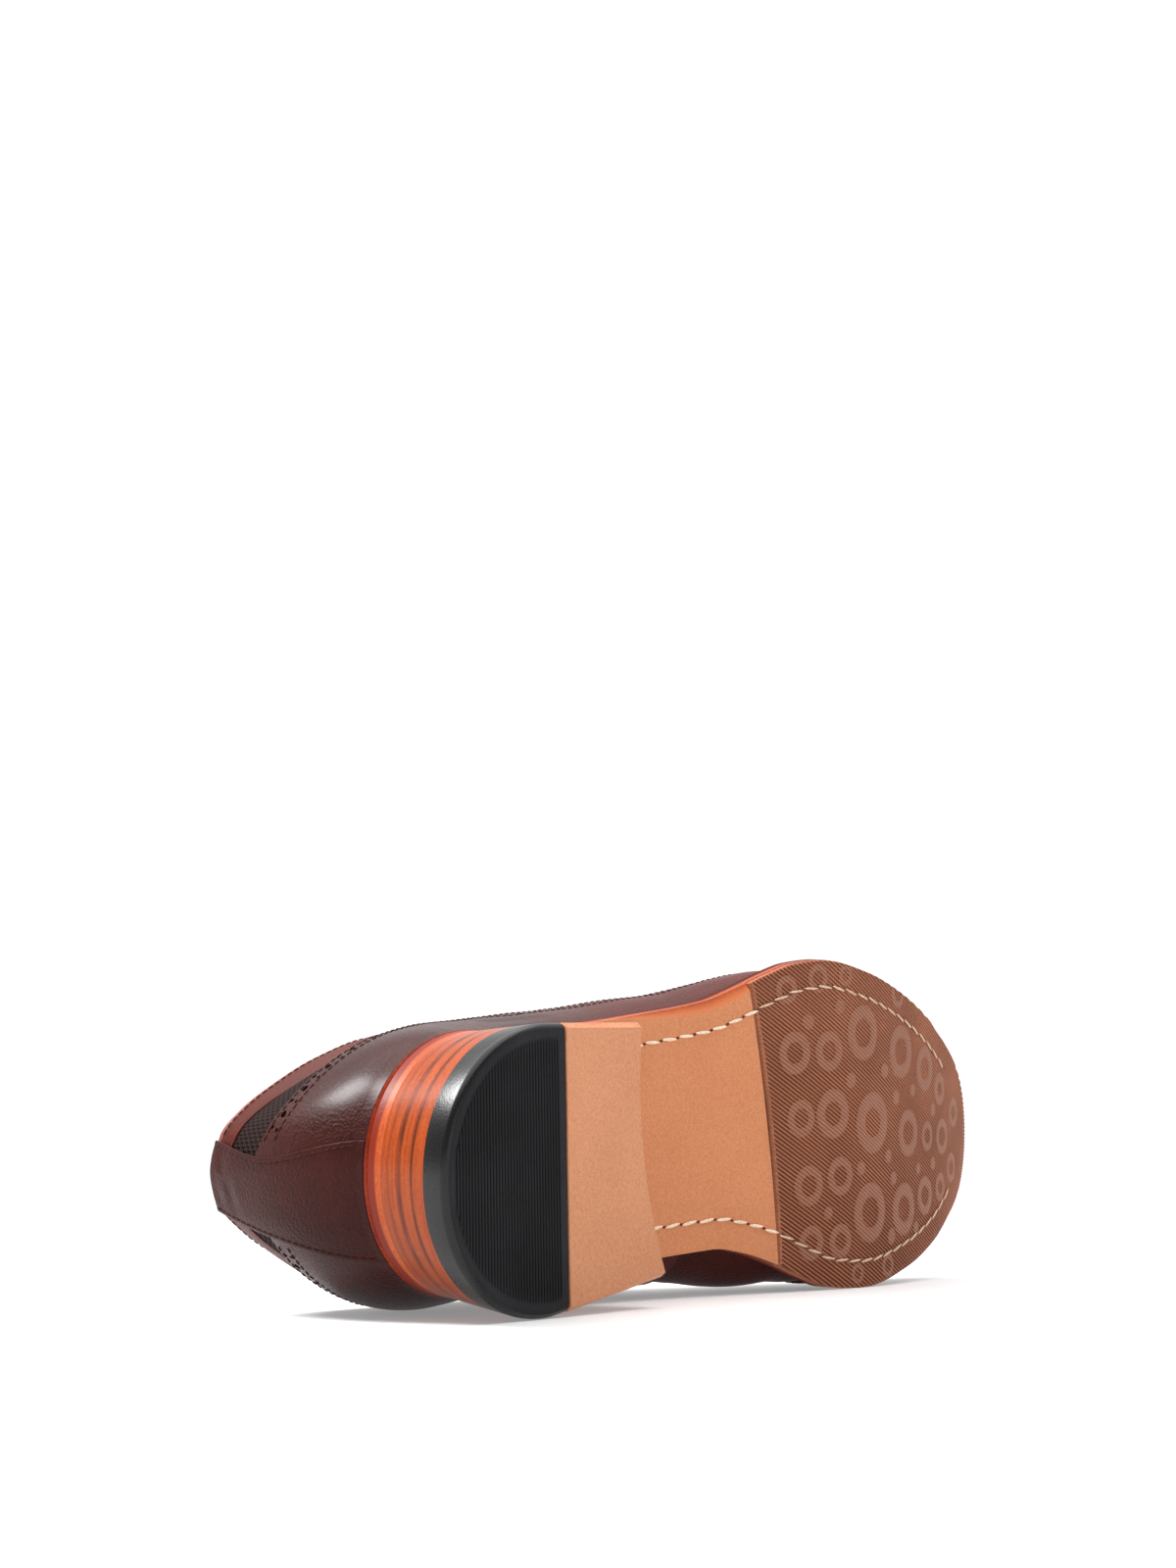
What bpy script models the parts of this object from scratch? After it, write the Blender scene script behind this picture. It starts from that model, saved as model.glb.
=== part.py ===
"""A right brogue shoe of about 300 mm, lying on its inner side.

The pieces are modelled standing, in millimetres: X from the heel's back to the toe, Y to the
wearer's inner side, Z up from the ground. An empty then lays the whole shoe on the heel's edge,
the ball's edge and the inner quarter.
"""
import math

import bmesh
import bpy
import numpy as np
from mathutils import Matrix, Vector
from mathutils.geometry import intersect_point_tri_2d

MM = 0.001
OUTER, INNER = -1, 1                 # sign of Y on the wearer's outer and inner side
GAP = 0.3                            # clearance between pieces

# Sole
LENGTH = 300.0
OUTSOLE_THICK = 4.0
TREAD_THICK = 2.0
WELT_THICK = 2.3
WELT_WIDTH = 11.0
INSOLE_THICK = 2.6
INSOLE_EASE = 1.2                    # from the upper's inner face
BALL_X = 214.0                       # where the forefoot touches the ground
TOE_SPRING = 10.3
TOE_TIP_Y = 13.2
TOE_ROUND = 0.48                     # share of the half width that the toe's end stays blunt
EDGE_ROWS = 52

# Heel block
HEEL_DEPTH = 41.4                    # from the back to the widest section
HEEL_HALF = 37.4
HEEL_ROUND = 2.08                    # exponent of the heel's rounded outline
HEEL_TAPER = 0.05                    # narrowing in front of the widest section
HEEL_SKEW = 0.036                    # drift of the back towards the outer side
HEEL_TOP = 23.8
HEEL_FLARE = 2.7                     # how much narrower the seat is than the ground face
HEEL_ROWS = 22
TOP_PIECE_THICK = 8.2
TOP_PIECE_ROUND = 1.3                # rounding of the rubber's lower edge
RUBBER_LINE_X = 47.5
BREAST_X = 86.2
BREAST_HOLLOW = 4.9
BREAST_SLANT = 4.5
LIFT_COUNT = 4

# Tread line across the sole
TREAD_LINE_X = 159.0
TREAD_LINE_SLANT = 4.5

# Upper
WALL = 2.0
COLUMNS = 88                        # round the whole shoe
ROWS = 9
STRIP_GRID = (6, 9)                  # cells along and up for each overlay and the tongue
FOXING_GRID = (28, 5)
FACING_GRID = (10, 2)
WING_GRID = (38, 14)
TONGUE_GRID = (12, 8)
NORMAL_PULL = 30.0                   # how strongly the wall bulges square to the sole's edge
OVERLAY_GAP = 0.6
OVERLAY_THICK = 1.2
OVERLAY_FOOT = 0.04                  # height on the wall where overlays start
OVERLAY_HEAD = 0.985                 # height on the wall where the back strip ends
TONGUE_DEPTH = 3.6                   # below the upper's outer face
TONGUE_THICK = 1.8
TONGUE_REACH = 11.0                  # above the facings
LACE_RADIUS = 1.25
LACE_SHARES = (0.402, 0.437, 0.472, 0.507, 0.542)
LACE_HOLE = 0.90

# Edge of the outsole: share of the length, half widths on the outer and the inner side
EDGE = (
    (0.138, 34.7, 34.7),
    (0.220, 33.5, 34.3),
    (0.300, 34.2, 36.1),
    (0.380, 35.7, 35.5),
    (0.460, 38.2, 35.6),
    (0.500, 41.6, 38.2),
    (0.540, 45.7, 42.8),
    (0.580, 48.8, 48.6),
    (0.620, 49.6, 53.4),
    (0.700, 45.2, 56.4),
    (0.780, 37.6, 54.3),
    (0.860, 27.4, 49.3),
    (0.930, 15.3, 41.2),
)

# Inset of the upper's foot from the outsole's edge, by share along the edge
FEATHER = (
    (0.00, 1.4),
    (0.20, 1.6),
    (0.35, 2.5),
    (0.50, 4.0),
    (0.65, 5.5),
    (1.00, 5.5),
)

# Upper: share along the edge, top line (x, half width, z), and the two handles of the wall's
# curve: outwards and up from the foot, outwards and down from the top line
STATIONS = (
    (0.000, 8.2, 0.0, 90.4, 7.0, 20.0, 5.5, 18.0),
    (0.030, 9.3, 9.0, 88.9, 7.5, 20.0, 5.5, 18.0),
    (0.060, 15.0, 15.4, 87.7, 8.0, 20.0, 6.0, 18.0),
    (0.100, 24.5, 21.8, 85.8, 9.0, 19.0, 7.0, 17.0),
    (0.147, 38.0, 28.6, 82.6, 10.0, 18.0, 8.0, 16.0),
    (0.200, 54.0, 33.0, 79.4, 10.0, 18.0, 7.0, 16.0),
    (0.250, 71.0, 33.6, 77.6, 9.0, 18.0, 7.0, 16.0),
    (0.310, 95.0, 26.5, 84.0, 10.0, 18.0, 15.0, 12.0),
    (0.365, 117.0, 11.5, 98.5, 12.0, 20.0, 29.0, 9.0),
    (0.420, 134.0, 8.8, 90.0, 15.0, 20.0, 27.0, 5.0),
    (0.490, 157.0, 6.0, 79.0, 11.5, 18.0, 27.0, 3.0),
    (0.565, 181.0, 2.6, 68.5, 6.5, 15.0, 30.0, 1.0),
    (0.590, 188.0, 0.0, 65.8, 5.0, 14.0, 30.0, 0.0),
    (0.680, 215.0, 0.0, 56.5, 4.0, 13.0, 26.0, 0.0),
    (0.770, 240.0, 0.0, 48.6, 3.5, 12.0, 22.0, 0.0),
    (0.860, 257.0, 0.0, 43.8, 3.0, 12.0, 17.0, 0.0),
    (0.930, 266.0, 0.0, 41.3, 3.0, 11.0, 14.0, 0.0),
    (1.000, 270.0, 0.0, 40.2, 3.0, 11.0, 13.0, 0.0),
)
TOP_FIELDS = ("x", "half", "z", "foot_out", "foot_rise", "top_out", "top_drop")

# How full the wall is: share along the edge, outer side, inner side low down and near its top
FULLNESS = (
    (0.00, 0.95, 0.95, 0.95),
    (0.04, 0.75, 0.92, 0.92),
    (0.10, 0.44, 0.92, 0.92),
    (0.15, 0.34, 0.93, 0.93),
    (0.20, 0.46, 0.95, 0.95),
    (0.26, 0.60, 1.02, 1.02),
    (0.32, 0.76, 1.18, 1.10),
    (0.38, 0.82, 1.58, 1.15),
    (0.44, 0.88, 2.15, 1.20),
    (0.50, 0.96, 3.05, 1.25),
    (0.56, 0.99, 3.90, 1.22),
    (0.62, 1.00, 3.60, 1.10),
    (0.70, 1.00, 1.40, 1.00),
    (0.76, 1.00, 1.00, 1.00),
    (1.00, 1.00, 1.00, 1.00),
)

# Fall of the vamp's ridge towards the toe: share along the edge, slope
RIDGE = (
    (0.00, 0.00),
    (0.49, 0.00),
    (0.59, 0.37),
    (0.77, 0.30),
    (1.00, 0.26),
)

# Middle of the top line: x, drift to the inner side
MIDDLE = (
    (8.2, 2.4),
    (30.0, 3.2),
    (117.0, 3.5),
    (160.0, 3.7),
    (188.0, 4.6),
    (215.0, 6.6),
    (240.0, 9.4),
    (270.0, 12.2),
)

# Back strip: height on the wall, share of its outer and of its inner edge
STRIP_EDGE = (
    (0.0, 0.024, 0.074),
    (0.5, 0.010, 0.052),
    (1.0, 0.026, 0.032),
)

# Top edge of the foxing: share along the edge, heights on the outer and the inner wall
FOXING_TOP = (
    (0.000, 0.630, 0.61),
    (0.030, 0.565, 0.61),
    (0.055, 0.515, 0.61),
    (0.090, 0.475, 0.62),
    (0.130, 0.455, 0.63),
    (0.180, 0.500, 0.67),
    (0.220, 0.530, 0.68),
    (0.260, 0.525, 0.69),
    (0.300, 0.445, 0.62),
    (0.350, 0.345, 0.52),
    (0.400, 0.320, 0.42),
    (0.480, 0.330, 0.38),
    (0.600, 0.340, 0.36),
)
FOXING_FRONT = {OUTER: 0.558, INNER: 0.449}   # share of its front edge
FOXING_LEAN = 0.02
SEAM_SHARE = 0.004                   # open seam between foxing and back strip

# Rear edge of the wing: height on the wall, share along the edge
WING_START = 0.5682
WING_EDGE = (
    (0.00, 0.569),
    (0.25, 0.588),
    (0.36, 0.604),
    (0.50, 0.636),
    (0.65, 0.670),
    (0.80, 0.690),
    (0.92, 0.682),
    (1.00, 0.655),
)

# Facing beside the throat: from share, to share, and heights on the wall
FACING = (0.374, 0.572, 0.78, 0.985)

# Tongue: from share, to share, edge's height on the wall above and below, free part of its length
TONGUE = (0.40, 0.62, 0.84, 0.70, 0.15)

# Where the finished shoe balances, standing: x and z
BALANCE = (118.0, 24.0)

COLOURS = {
    "sole_leather": ((0.60, 0.27, 0.13), 0.60),
    "tread_rubber": ((0.28, 0.13, 0.08), 0.70),
    "welt_leather": ((0.20, 0.03, 0.01), 0.45),
    "stack_leather": ((0.45, 0.10, 0.03), 0.35),
    "black_rubber": ((0.02, 0.02, 0.02), 0.50),
    "insole_leather": ((0.45, 0.24, 0.12), 0.65),
    "upper_leather": ((0.09, 0.035, 0.03), 0.40),
    "overlay_leather": ((0.10, 0.04, 0.035), 0.38),
    "lace_cord": ((0.06, 0.03, 0.025), 0.80),
}


def smooth_through(table, column):
    """A function of the table's first column through another one, without overshoot."""
    rows = np.array(table, dtype=float)
    xs, ys = rows[:, 0], rows[:, column]
    step = np.diff(xs)
    rate = np.diff(ys) / step
    slope = np.concatenate([rate[:1], np.zeros(len(xs) - 2), rate[-1:]])
    for i in range(1, len(xs) - 1):
        if rate[i - 1] * rate[i] > 0:
            before, after = 2 * step[i] + step[i - 1], step[i] + 2 * step[i - 1]
            slope[i] = (before + after) / (before / rate[i - 1] + after / rate[i])

    def at(x):
        i = np.clip(np.searchsorted(xs, x) - 1, 0, len(step) - 1)
        t = (x - xs[i]) / step[i]
        start = (1 + 2 * t) * (1 - t) ** 2 * ys[i] + t * (1 - t) ** 2 * step[i] * slope[i]
        end = t * t * (3 - 2 * t) * ys[i + 1] + t * t * (t - 1) * step[i] * slope[i + 1]
        return start + end

    return at


def bezier(p0, p1, p2, p3, t):
    """A point on a cubic curve."""
    return (1 - t) ** 3 * p0 + 3 * (1 - t) ** 2 * t * p1 + 3 * (1 - t) * t * t * p2 + t ** 3 * p3


def resampled(points, count):
    """The same curve with count + 1 points at equal distances."""
    run = np.concatenate([[0.0], np.cumsum(np.linalg.norm(np.diff(points, axis=0), axis=1))])
    at = np.linspace(0.0, run[-1], count + 1)
    return np.column_stack([np.interp(at, run, points[:, k]) for k in (0, 1)])


def inward(points, side):
    """Unit directions towards the shoe's inside along a half outline, lengthwise at its ends."""
    along = np.gradient(points, axis=0)
    along /= np.linalg.norm(along, axis=1)[:, None]
    turned = np.column_stack([along[:, 1], -along[:, 0]]) * side
    turned[0], turned[-1] = (1, 0), (-1, 0)
    return turned


def inset_curve(points, side, distance):
    """A half outline moved towards the shoe's inside."""
    return points + inward(points, side) * np.reshape(distance, (-1, 1))


def heel_half(side, inset):
    """Half outline of the heel from its back to its widest section, and the half width there."""
    angle = np.linspace(0.0, math.pi / 2, 60)
    depth, half = HEEL_DEPTH - inset, HEEL_HALF - inset
    x = HEEL_DEPTH - depth * np.cos(angle) ** (2 / HEEL_ROUND)
    y = side * half * np.sin(angle) ** (2 / HEEL_ROUND) - HEEL_SKEW * (HEEL_DEPTH - x)
    return np.column_stack([x, y]), half


def outsole_half(side):
    """Half outline of the outsole, from the heel's back to the toe's tip."""
    heel, _ = heel_half(side, HEEL_FLARE)
    width = smooth_through(EDGE, 1 if side == OUTER else 2)
    end = EDGE[-1][0]
    shares = np.linspace(EDGE[0][0], end, 240)[1:]
    flank = np.column_stack([shares * LENGTH, side * width(shares)])
    corner, tip = flank[-1], np.array([LENGTH, TOE_TIP_Y])
    slope = side * (width(end) - width(end - 0.01)) / (0.01 * LENGTH)
    reach = 0.55 * (LENGTH - corner[0])
    first = corner + np.array([reach, slope * reach])
    second = tip + np.array([0.0, (corner[1] - TOE_TIP_Y) * TOE_ROUND])
    t = np.linspace(0.0, 1.0, 60)[1:, None]
    return np.vstack([heel, flank, bezier(corner, first, second, tip, t)])


EDGES = {side: resampled(outsole_half(side), 400) for side in (OUTER, INNER)}


def underside(x):
    """Height of the sole's ground face: heel seat, arch, ball and toe spring."""
    arch = np.clip((x - BREAST_X) / (BALL_X - BREAST_X), 0.0, 1.0)
    toe = np.clip((x - BALL_X) / (LENGTH - BALL_X), 0.0, 1.0)
    seat = HEEL_TOP + GAP
    return seat * (1 - arch) ** 2 * (1 + 2 * arch) + TOE_SPRING * toe ** 2


def outsole_top(x):
    return underside(x) + OUTSOLE_THICK


def welt_foot(x):
    return outsole_top(x) + GAP


def seat_height(x):
    return welt_foot(x) + WELT_THICK


def tread_line(side):
    """Where the tread begins at one edge of the sole."""
    return TREAD_LINE_X + side * TREAD_LINE_SLANT


def edge_between(side, start, stop, inset, count):
    """A stretch of the outsole's edge between two x positions, moved inwards."""
    curve = inset_curve(EDGES[side], side, inset)
    inside = (curve[:, 0] > start) & (curve[:, 0] < stop)
    ends = [[x, np.interp(x, curve[:, 0], curve[:, 1])] for x in (start, stop) if 5 < x < LENGTH - 5]
    points = np.vstack([curve[inside]] + [np.array([end]) for end in ends])
    return resampled(points[np.argsort(points[:, 0], kind="stable")], count)


def heel_between(side, start, stop, inset, count):
    """A stretch of the heel block's side between two x positions."""
    back, half = heel_half(side, inset)
    front = np.linspace(HEEL_DEPTH, stop, 30)[1:]
    flank = np.column_stack([front, side * (half - HEEL_TAPER * (front - HEEL_DEPTH))])
    curve = np.vstack([back, flank])
    if start > 0:
        entry = [start, np.interp(start, curve[:, 0], curve[:, 1])]
        curve = np.vstack([[entry], curve[curve[:, 0] > start]])
    return resampled(curve, count)


def material(name):
    """A plain material in the piece's colour."""
    made = bpy.data.materials.get(name)
    if made is None:
        colour, roughness = COLOURS[name]
        made = bpy.data.materials.new(name)
        made.use_nodes = True
        shader = made.node_tree.nodes["Principled BSDF"]
        shader.inputs["Base Color"].default_value = (*colour, 1.0)
        shader.inputs["Roughness"].default_value = roughness
        shader.inputs["Metallic"].default_value = 0.0
    return made


def finish(name, bm, finish_name):
    """Turn a bmesh into a named object of the shoe."""
    mesh = bpy.data.meshes.new(name)
    bm.to_mesh(mesh)
    bm.free()
    mesh.materials.append(material(finish_name))
    mesh.shade_smooth()
    mesh.set_sharp_from_angle(angle=math.radians(40))
    made = bpy.data.objects.new(name, mesh)
    PARTS.objects.link(made)
    made.parent = LAID
    return made


def parameter_grid(rows, columns):
    """A flat grid whose x and y run from 0 to 1."""
    bm = bmesh.new()
    bmesh.ops.create_grid(bm, x_segments=rows, y_segments=columns, size=0.5)
    bmesh.ops.translate(bm, verts=bm.verts, vec=(0.5, 0.5, 0.0))
    return bm


def slab(name, finish_name, levels, columns=1, bow=0.0):
    """A solid over a stretch of sole: a grid on the lowest level, extruded through the others.

    Each level is the outer edge, the inner edge and the height as a function of x and row.
    The bow shifts the middle of the last row along x.
    """
    rows = len(levels[0][0]) - 1
    bm = parameter_grid(rows, columns)
    top = bm.faces[:]
    for number in range(1, len(levels)):
        moved = bmesh.ops.extrude_face_region(bm, geom=top)["geom"]
        if number > 1:
            bmesh.ops.delete(bm, geom=top, context="FACES_ONLY")
        top = [part for part in moved if isinstance(part, bmesh.types.BMFace)]
        raised = [part for part in moved if isinstance(part, bmesh.types.BMVert)]
        bmesh.ops.translate(bm, verts=raised, vec=(0.0, 0.0, 1.0))
    for vert in bm.verts:
        row, across = round(vert.co.x * rows), vert.co.y
        outer, inner, height = levels[round(vert.co.z)]
        x, y = outer[row] * (1 - across) + inner[row] * across
        x += bow * (row / rows) ** 6 * (1 - (2 * across - 1) ** 2)
        vert.co = Vector((x, y, height(x, row))) * MM
    bmesh.ops.remove_doubles(bm, verts=bm.verts, dist=0.01 * MM)
    bmesh.ops.recalc_face_normals(bm, faces=bm.faces)
    return finish(name, bm, finish_name)


def sheet(name, finish_name, place, rows, columns, thick, outwards):
    """A shell: a grid laid on a surface, welded where it meets itself, with a wall."""
    bm = parameter_grid(rows, columns)
    for vert in bm.verts:
        vert.co = Vector(place(vert.co.x, vert.co.y)) * MM
    bmesh.ops.remove_doubles(bm, verts=bm.verts, dist=0.02 * MM)
    made = finish(name, bm, finish_name)
    wall = made.modifiers.new("wall", "SOLIDIFY")
    wall.thickness = thick * MM
    wall.offset = 1.0 if outwards else -1.0
    wall.use_even_offset = True
    return made


TOP = {field: smooth_through(STATIONS, k + 1) for k, field in enumerate(TOP_FIELDS)}
TOP_MIDDLE = smooth_through(MIDDLE, 1)
FEATHER_INSET = smooth_through(FEATHER, 1)
EDGE_SHARES = np.linspace(0.0, 1.0, 401)
FEET = {side: inset_curve(EDGES[side], side, FEATHER_INSET(EDGE_SHARES)) for side in (OUTER, INNER)}
OUTWARD = {side: -inward(EDGES[side], side) for side in (OUTER, INNER)}
FULL = {OUTER: [smooth_through(FULLNESS, k) for k in (1, 1)],
        INNER: [smooth_through(FULLNESS, k) for k in (2, 3)]}
ON_RIDGE = smooth_through(RIDGE, 1)


def wall_point(side, share, rise):
    """A point on the upper's outer face: share along the edge, rise from the foot to the top line."""
    foot_x, foot_y = (np.interp(share, EDGE_SHARES, FEET[side][:, k]) for k in (0, 1))
    foot = np.array([foot_x, foot_y, seat_height(foot_x) + GAP])
    top_x = TOP["x"](share)
    top = np.array([top_x, TOP_MIDDLE(top_x) + side * TOP["half"](share), TOP["z"](share)])
    normal = np.array([np.interp(share, EDGE_SHARES, OUTWARD[side][:, k]) for k in (0, 1)])
    away = (foot - top)[:2] + normal * NORMAL_PULL
    out = np.array([*away / np.linalg.norm(away), 0.0])
    up = np.array([0.0, 0.0, 1.0])
    low_full, top_full = (full(share) for full in FULL[side])
    low = foot + out * TOP["foot_out"](share) * low_full + up * TOP["foot_rise"](share)
    high = top + out * TOP["top_out"](share) * top_full - up * TOP["top_drop"](share)
    high[2] -= (high[0] - top[0]) * ON_RIDGE(share)
    return bezier(foot, low, high, top, rise)


def wall_offset(side, share, rise, distance):
    """A point at a distance outside the upper's outer face."""
    step = 0.004
    s0, s1 = max(share - step, 0.0), min(share + step, 1.0)
    r0, r1 = max(rise - step, 0.0), min(rise + step, 1.0)
    along = wall_point(side, s1, rise) - wall_point(side, s0, rise)
    upwards = wall_point(side, share, r1) - wall_point(side, share, r0)
    normal = np.cross(along, upwards) * -side
    point = wall_point(side, share, rise)
    if share < step or share > 1 - step:
        normal[1] = 0.0
    if rise > 1 - step and TOP["half"](share) < 0.01:
        normal = np.array([ON_RIDGE(share), 0.0, 1.0])
    return point + normal / np.linalg.norm(normal) * distance


def round_the_shoe(around):
    """Side and share for a walk from the toe along the inner side to the heel and back outside."""
    return (INNER, 1 - 2 * around) if around < 0.5 else (OUTER, 2 * around - 1)


def past_the_toe(around):
    """Side and share of a half for a walk along the outer side to the toe and back inside."""
    return (OUTER, 2 * around) if around < 0.5 else (INNER, 2 - 2 * around)


def make_sole():
    def flat(inset, top):
        return (edge_between(OUTER, 0, LENGTH, inset, EDGE_ROWS),
                edge_between(INNER, 0, LENGTH, inset, EDGE_ROWS), top)

    rear = [edge_between(side, 0, tread_line(side), 0.0, EDGE_ROWS // 2) for side in (OUTER, INNER)]
    fore = [edge_between(side, tread_line(side) + 0.1, LENGTH, 0.0, EDGE_ROWS // 2) for side in (OUTER, INNER)]
    outer, inner = (np.vstack([rear[k], fore[k]]) for k in (0, 1))
    step_row = len(rear[0])

    def recessed(x, row):
        return underside(x) + (TREAD_THICK + GAP if row >= step_row else 0.0)

    slab("outsole", "sole_leather",
         [(outer, inner, recessed), (outer, inner, lambda x, row: outsole_top(x))])

    tread = [edge_between(side, tread_line(side) + 0.1 + GAP, LENGTH, 0.2, EDGE_ROWS // 2)
             for side in (OUTER, INNER)]
    slab("forefoot_tread", "tread_rubber",
         [(*tread, lambda x, row: underside(x)), (*tread, lambda x, row: underside(x) + TREAD_THICK)])

    insole_inset = FEATHER_INSET(EDGE_SHARES) + WALL + INSOLE_EASE
    insole = [resampled(inset_curve(EDGES[side], side, insole_inset), EDGE_ROWS) for side in (OUTER, INNER)]
    slab("insole", "insole_leather",
         [(*insole, lambda x, row: seat_height(x) + GAP),
          (*insole, lambda x, row: seat_height(x) + GAP + INSOLE_THICK)])

    def on_welt(around, across):
        side, share = round_the_shoe(around)
        inset = WELT_WIDTH * (1 - across)
        curve = inset_curve(EDGES[side], side, inset)
        x, y = (np.interp(share, EDGE_SHARES, curve[:, k]) for k in (0, 1))
        return x, y, welt_foot(x)

    sheet("welt", "welt_leather", on_welt, COLUMNS, 1, WELT_THICK, outwards=False)


def make_heel():
    def flare(z):
        return HEEL_FLARE * z / (HEEL_TOP + GAP)

    def level(z, start, stop, extra=0.0):
        ends = {OUTER: stop - BREAST_SLANT, INNER: stop + BREAST_SLANT} if stop > RUBBER_LINE_X else {}
        sides = [heel_between(side, start, ends.get(side, stop), flare(z) + extra, HEEL_ROWS)
                 for side in (OUTER, INNER)]
        return (*sides, lambda x, row: z)

    slab("heel_rubber", "black_rubber",
         [level(0.0, 0.0, RUBBER_LINE_X, TOP_PIECE_ROUND),
          level(TOP_PIECE_ROUND * 0.3, 0.0, RUBBER_LINE_X, TOP_PIECE_ROUND * 0.3),
          level(TOP_PIECE_ROUND, 0.0, RUBBER_LINE_X),
          level(TOP_PIECE_THICK, 0.0, RUBBER_LINE_X)])
    slab("heel_leather", "sole_leather",
         [level(0.0, RUBBER_LINE_X + GAP, BREAST_X), level(TOP_PIECE_THICK, RUBBER_LINE_X + GAP, BREAST_X)],
         columns=3, bow=-BREAST_HOLLOW)
    first = TOP_PIECE_THICK + GAP
    thick = (HEEL_TOP - first - (LIFT_COUNT - 1) * GAP) / LIFT_COUNT
    for k in range(LIFT_COUNT):
        low = first + k * (thick + GAP)
        slab(f"heel_lift_{k + 1}", "stack_leather",
             [level(low, 0.0, BREAST_X), level(low + thick, 0.0, BREAST_X)], columns=3, bow=-BREAST_HOLLOW)


def make_upper():
    def on_wall(around, rise):
        side, share = round_the_shoe(around)
        return wall_point(side, share, rise)

    sheet("upper", "upper_leather", on_wall, COLUMNS, ROWS, WALL, outwards=False)


def make_overlays():
    outer_edge, inner_edge = (smooth_through(STRIP_EDGE, k) for k in (1, 2))
    wing_edge = smooth_through(WING_EDGE, 1)

    def raised(side, share, rise):
        return wall_offset(side, share, rise, OVERLAY_GAP)

    def on_strip(across, up):
        rise = OVERLAY_FOOT + (OVERLAY_HEAD - OVERLAY_FOOT) * up
        signed = -inner_edge(rise) + across * (inner_edge(rise) + outer_edge(rise))
        return raised(OUTER if signed > 0 else INNER, abs(signed), rise)

    def foxing_on(side, seam):
        foxing_top = smooth_through(FOXING_TOP, 1 if side == OUTER else 2)

        def on_foxing(along, up):
            if side == INNER:
                along = 1 - along
            back = seam(OVERLAY_FOOT + foxing_top(0.0) * up) + SEAM_SHARE
            front = FOXING_FRONT[side] + FOXING_LEAN * up
            share = back + along * (front - back)
            return raised(side, share, OVERLAY_FOOT + up * (foxing_top(share) - OVERLAY_FOOT))
        return on_foxing

    def on_wing(along, up):
        side, part = past_the_toe(along)
        rise = max(up, OVERLAY_FOOT)
        share = WING_START + part * (1 - WING_START)
        return raised(side, max(share, wing_edge(rise)), rise)

    def facing_on(side):
        start, stop, low, high = FACING

        def on_facing(along, up):
            if side == INNER:
                along = 1 - along
            return raised(side, start + along * (stop - start), low + up * (high - low))
        return on_facing

    def overlay(name, place, grid):
        sheet(name, "overlay_leather", place, *grid, OVERLAY_THICK, outwards=True)

    overlay("back_strip", on_strip, STRIP_GRID)
    for side, word, seam in ((OUTER, "lateral", outer_edge), (INNER, "medial", inner_edge)):
        overlay(f"foxing_{word}", foxing_on(side, seam), FOXING_GRID)
        overlay(f"facing_{word}", facing_on(side), FACING_GRID)
    overlay("wing_tip", on_wing, WING_GRID)


def make_tongue():
    def across_at(share, rise, across):
        rises = np.linspace(rise, 1.0, 4)
        points = [wall_offset(OUTER, share, r, -TONGUE_DEPTH) for r in rises]
        points += [wall_offset(INNER, share, r, -TONGUE_DEPTH) for r in rises[::-1]]
        points = np.array(points)
        apart = np.linalg.norm(np.diff(points, axis=0), axis=1)
        keep = np.concatenate([[True], apart > 0.2])
        points = points[keep]
        run = np.concatenate([[0.0], np.cumsum(np.linalg.norm(np.diff(points, axis=0), axis=1))]) / apart.sum()
        return np.array([smooth_through(np.column_stack([run, points[:, k]]), 1)(across * run[-1]) for k in range(3)])

    def on_tongue(along, across):
        start, stop, top_rise, foot_rise, free = TONGUE
        share = start + max(along - free, 0.0) / (1 - free) * (stop - start)
        rise = top_rise + (foot_rise - top_rise) * along
        point = across_at(share, rise, across)
        if along < free:
            away = across_at(start, rise, across) - across_at(start + 0.03, rise, across)
            away = away * (1, 0, 1)
            point = point + away / np.linalg.norm(away) * TONGUE_REACH * (1 - along / free)
        return point

    sheet("tongue", "upper_leather", on_tongue, *TONGUE_GRID, TONGUE_THICK, outwards=False)


def make_laces():
    lift = OVERLAY_GAP + OVERLAY_THICK + GAP + LACE_RADIUS
    for number, share in enumerate(LACE_SHARES, start=1):
        rises = (LACE_HOLE, 0.95, 1.0)
        route = [wall_offset(OUTER, share, rise, lift) for rise in rises]
        route += [wall_offset(INNER, share, rise, lift) for rise in rises[::-1]]
        curve = bpy.data.curves.new(f"lace_bar_{number}", "CURVE")
        curve.dimensions = "3D"
        curve.bevel_depth = LACE_RADIUS * MM
        curve.bevel_resolution = 2
        curve.use_fill_caps = True
        spline = curve.splines.new("POLY")
        spline.points.add(len(route) - 1)
        for point, at in zip(spline.points, route):
            point.co = (*(at * MM), 1.0)
        curve.materials.append(material("lace_cord"))
        bar = bpy.data.objects.new(curve.name, curve)
        PARTS.objects.link(bar)
        bar.parent = LAID


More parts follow.
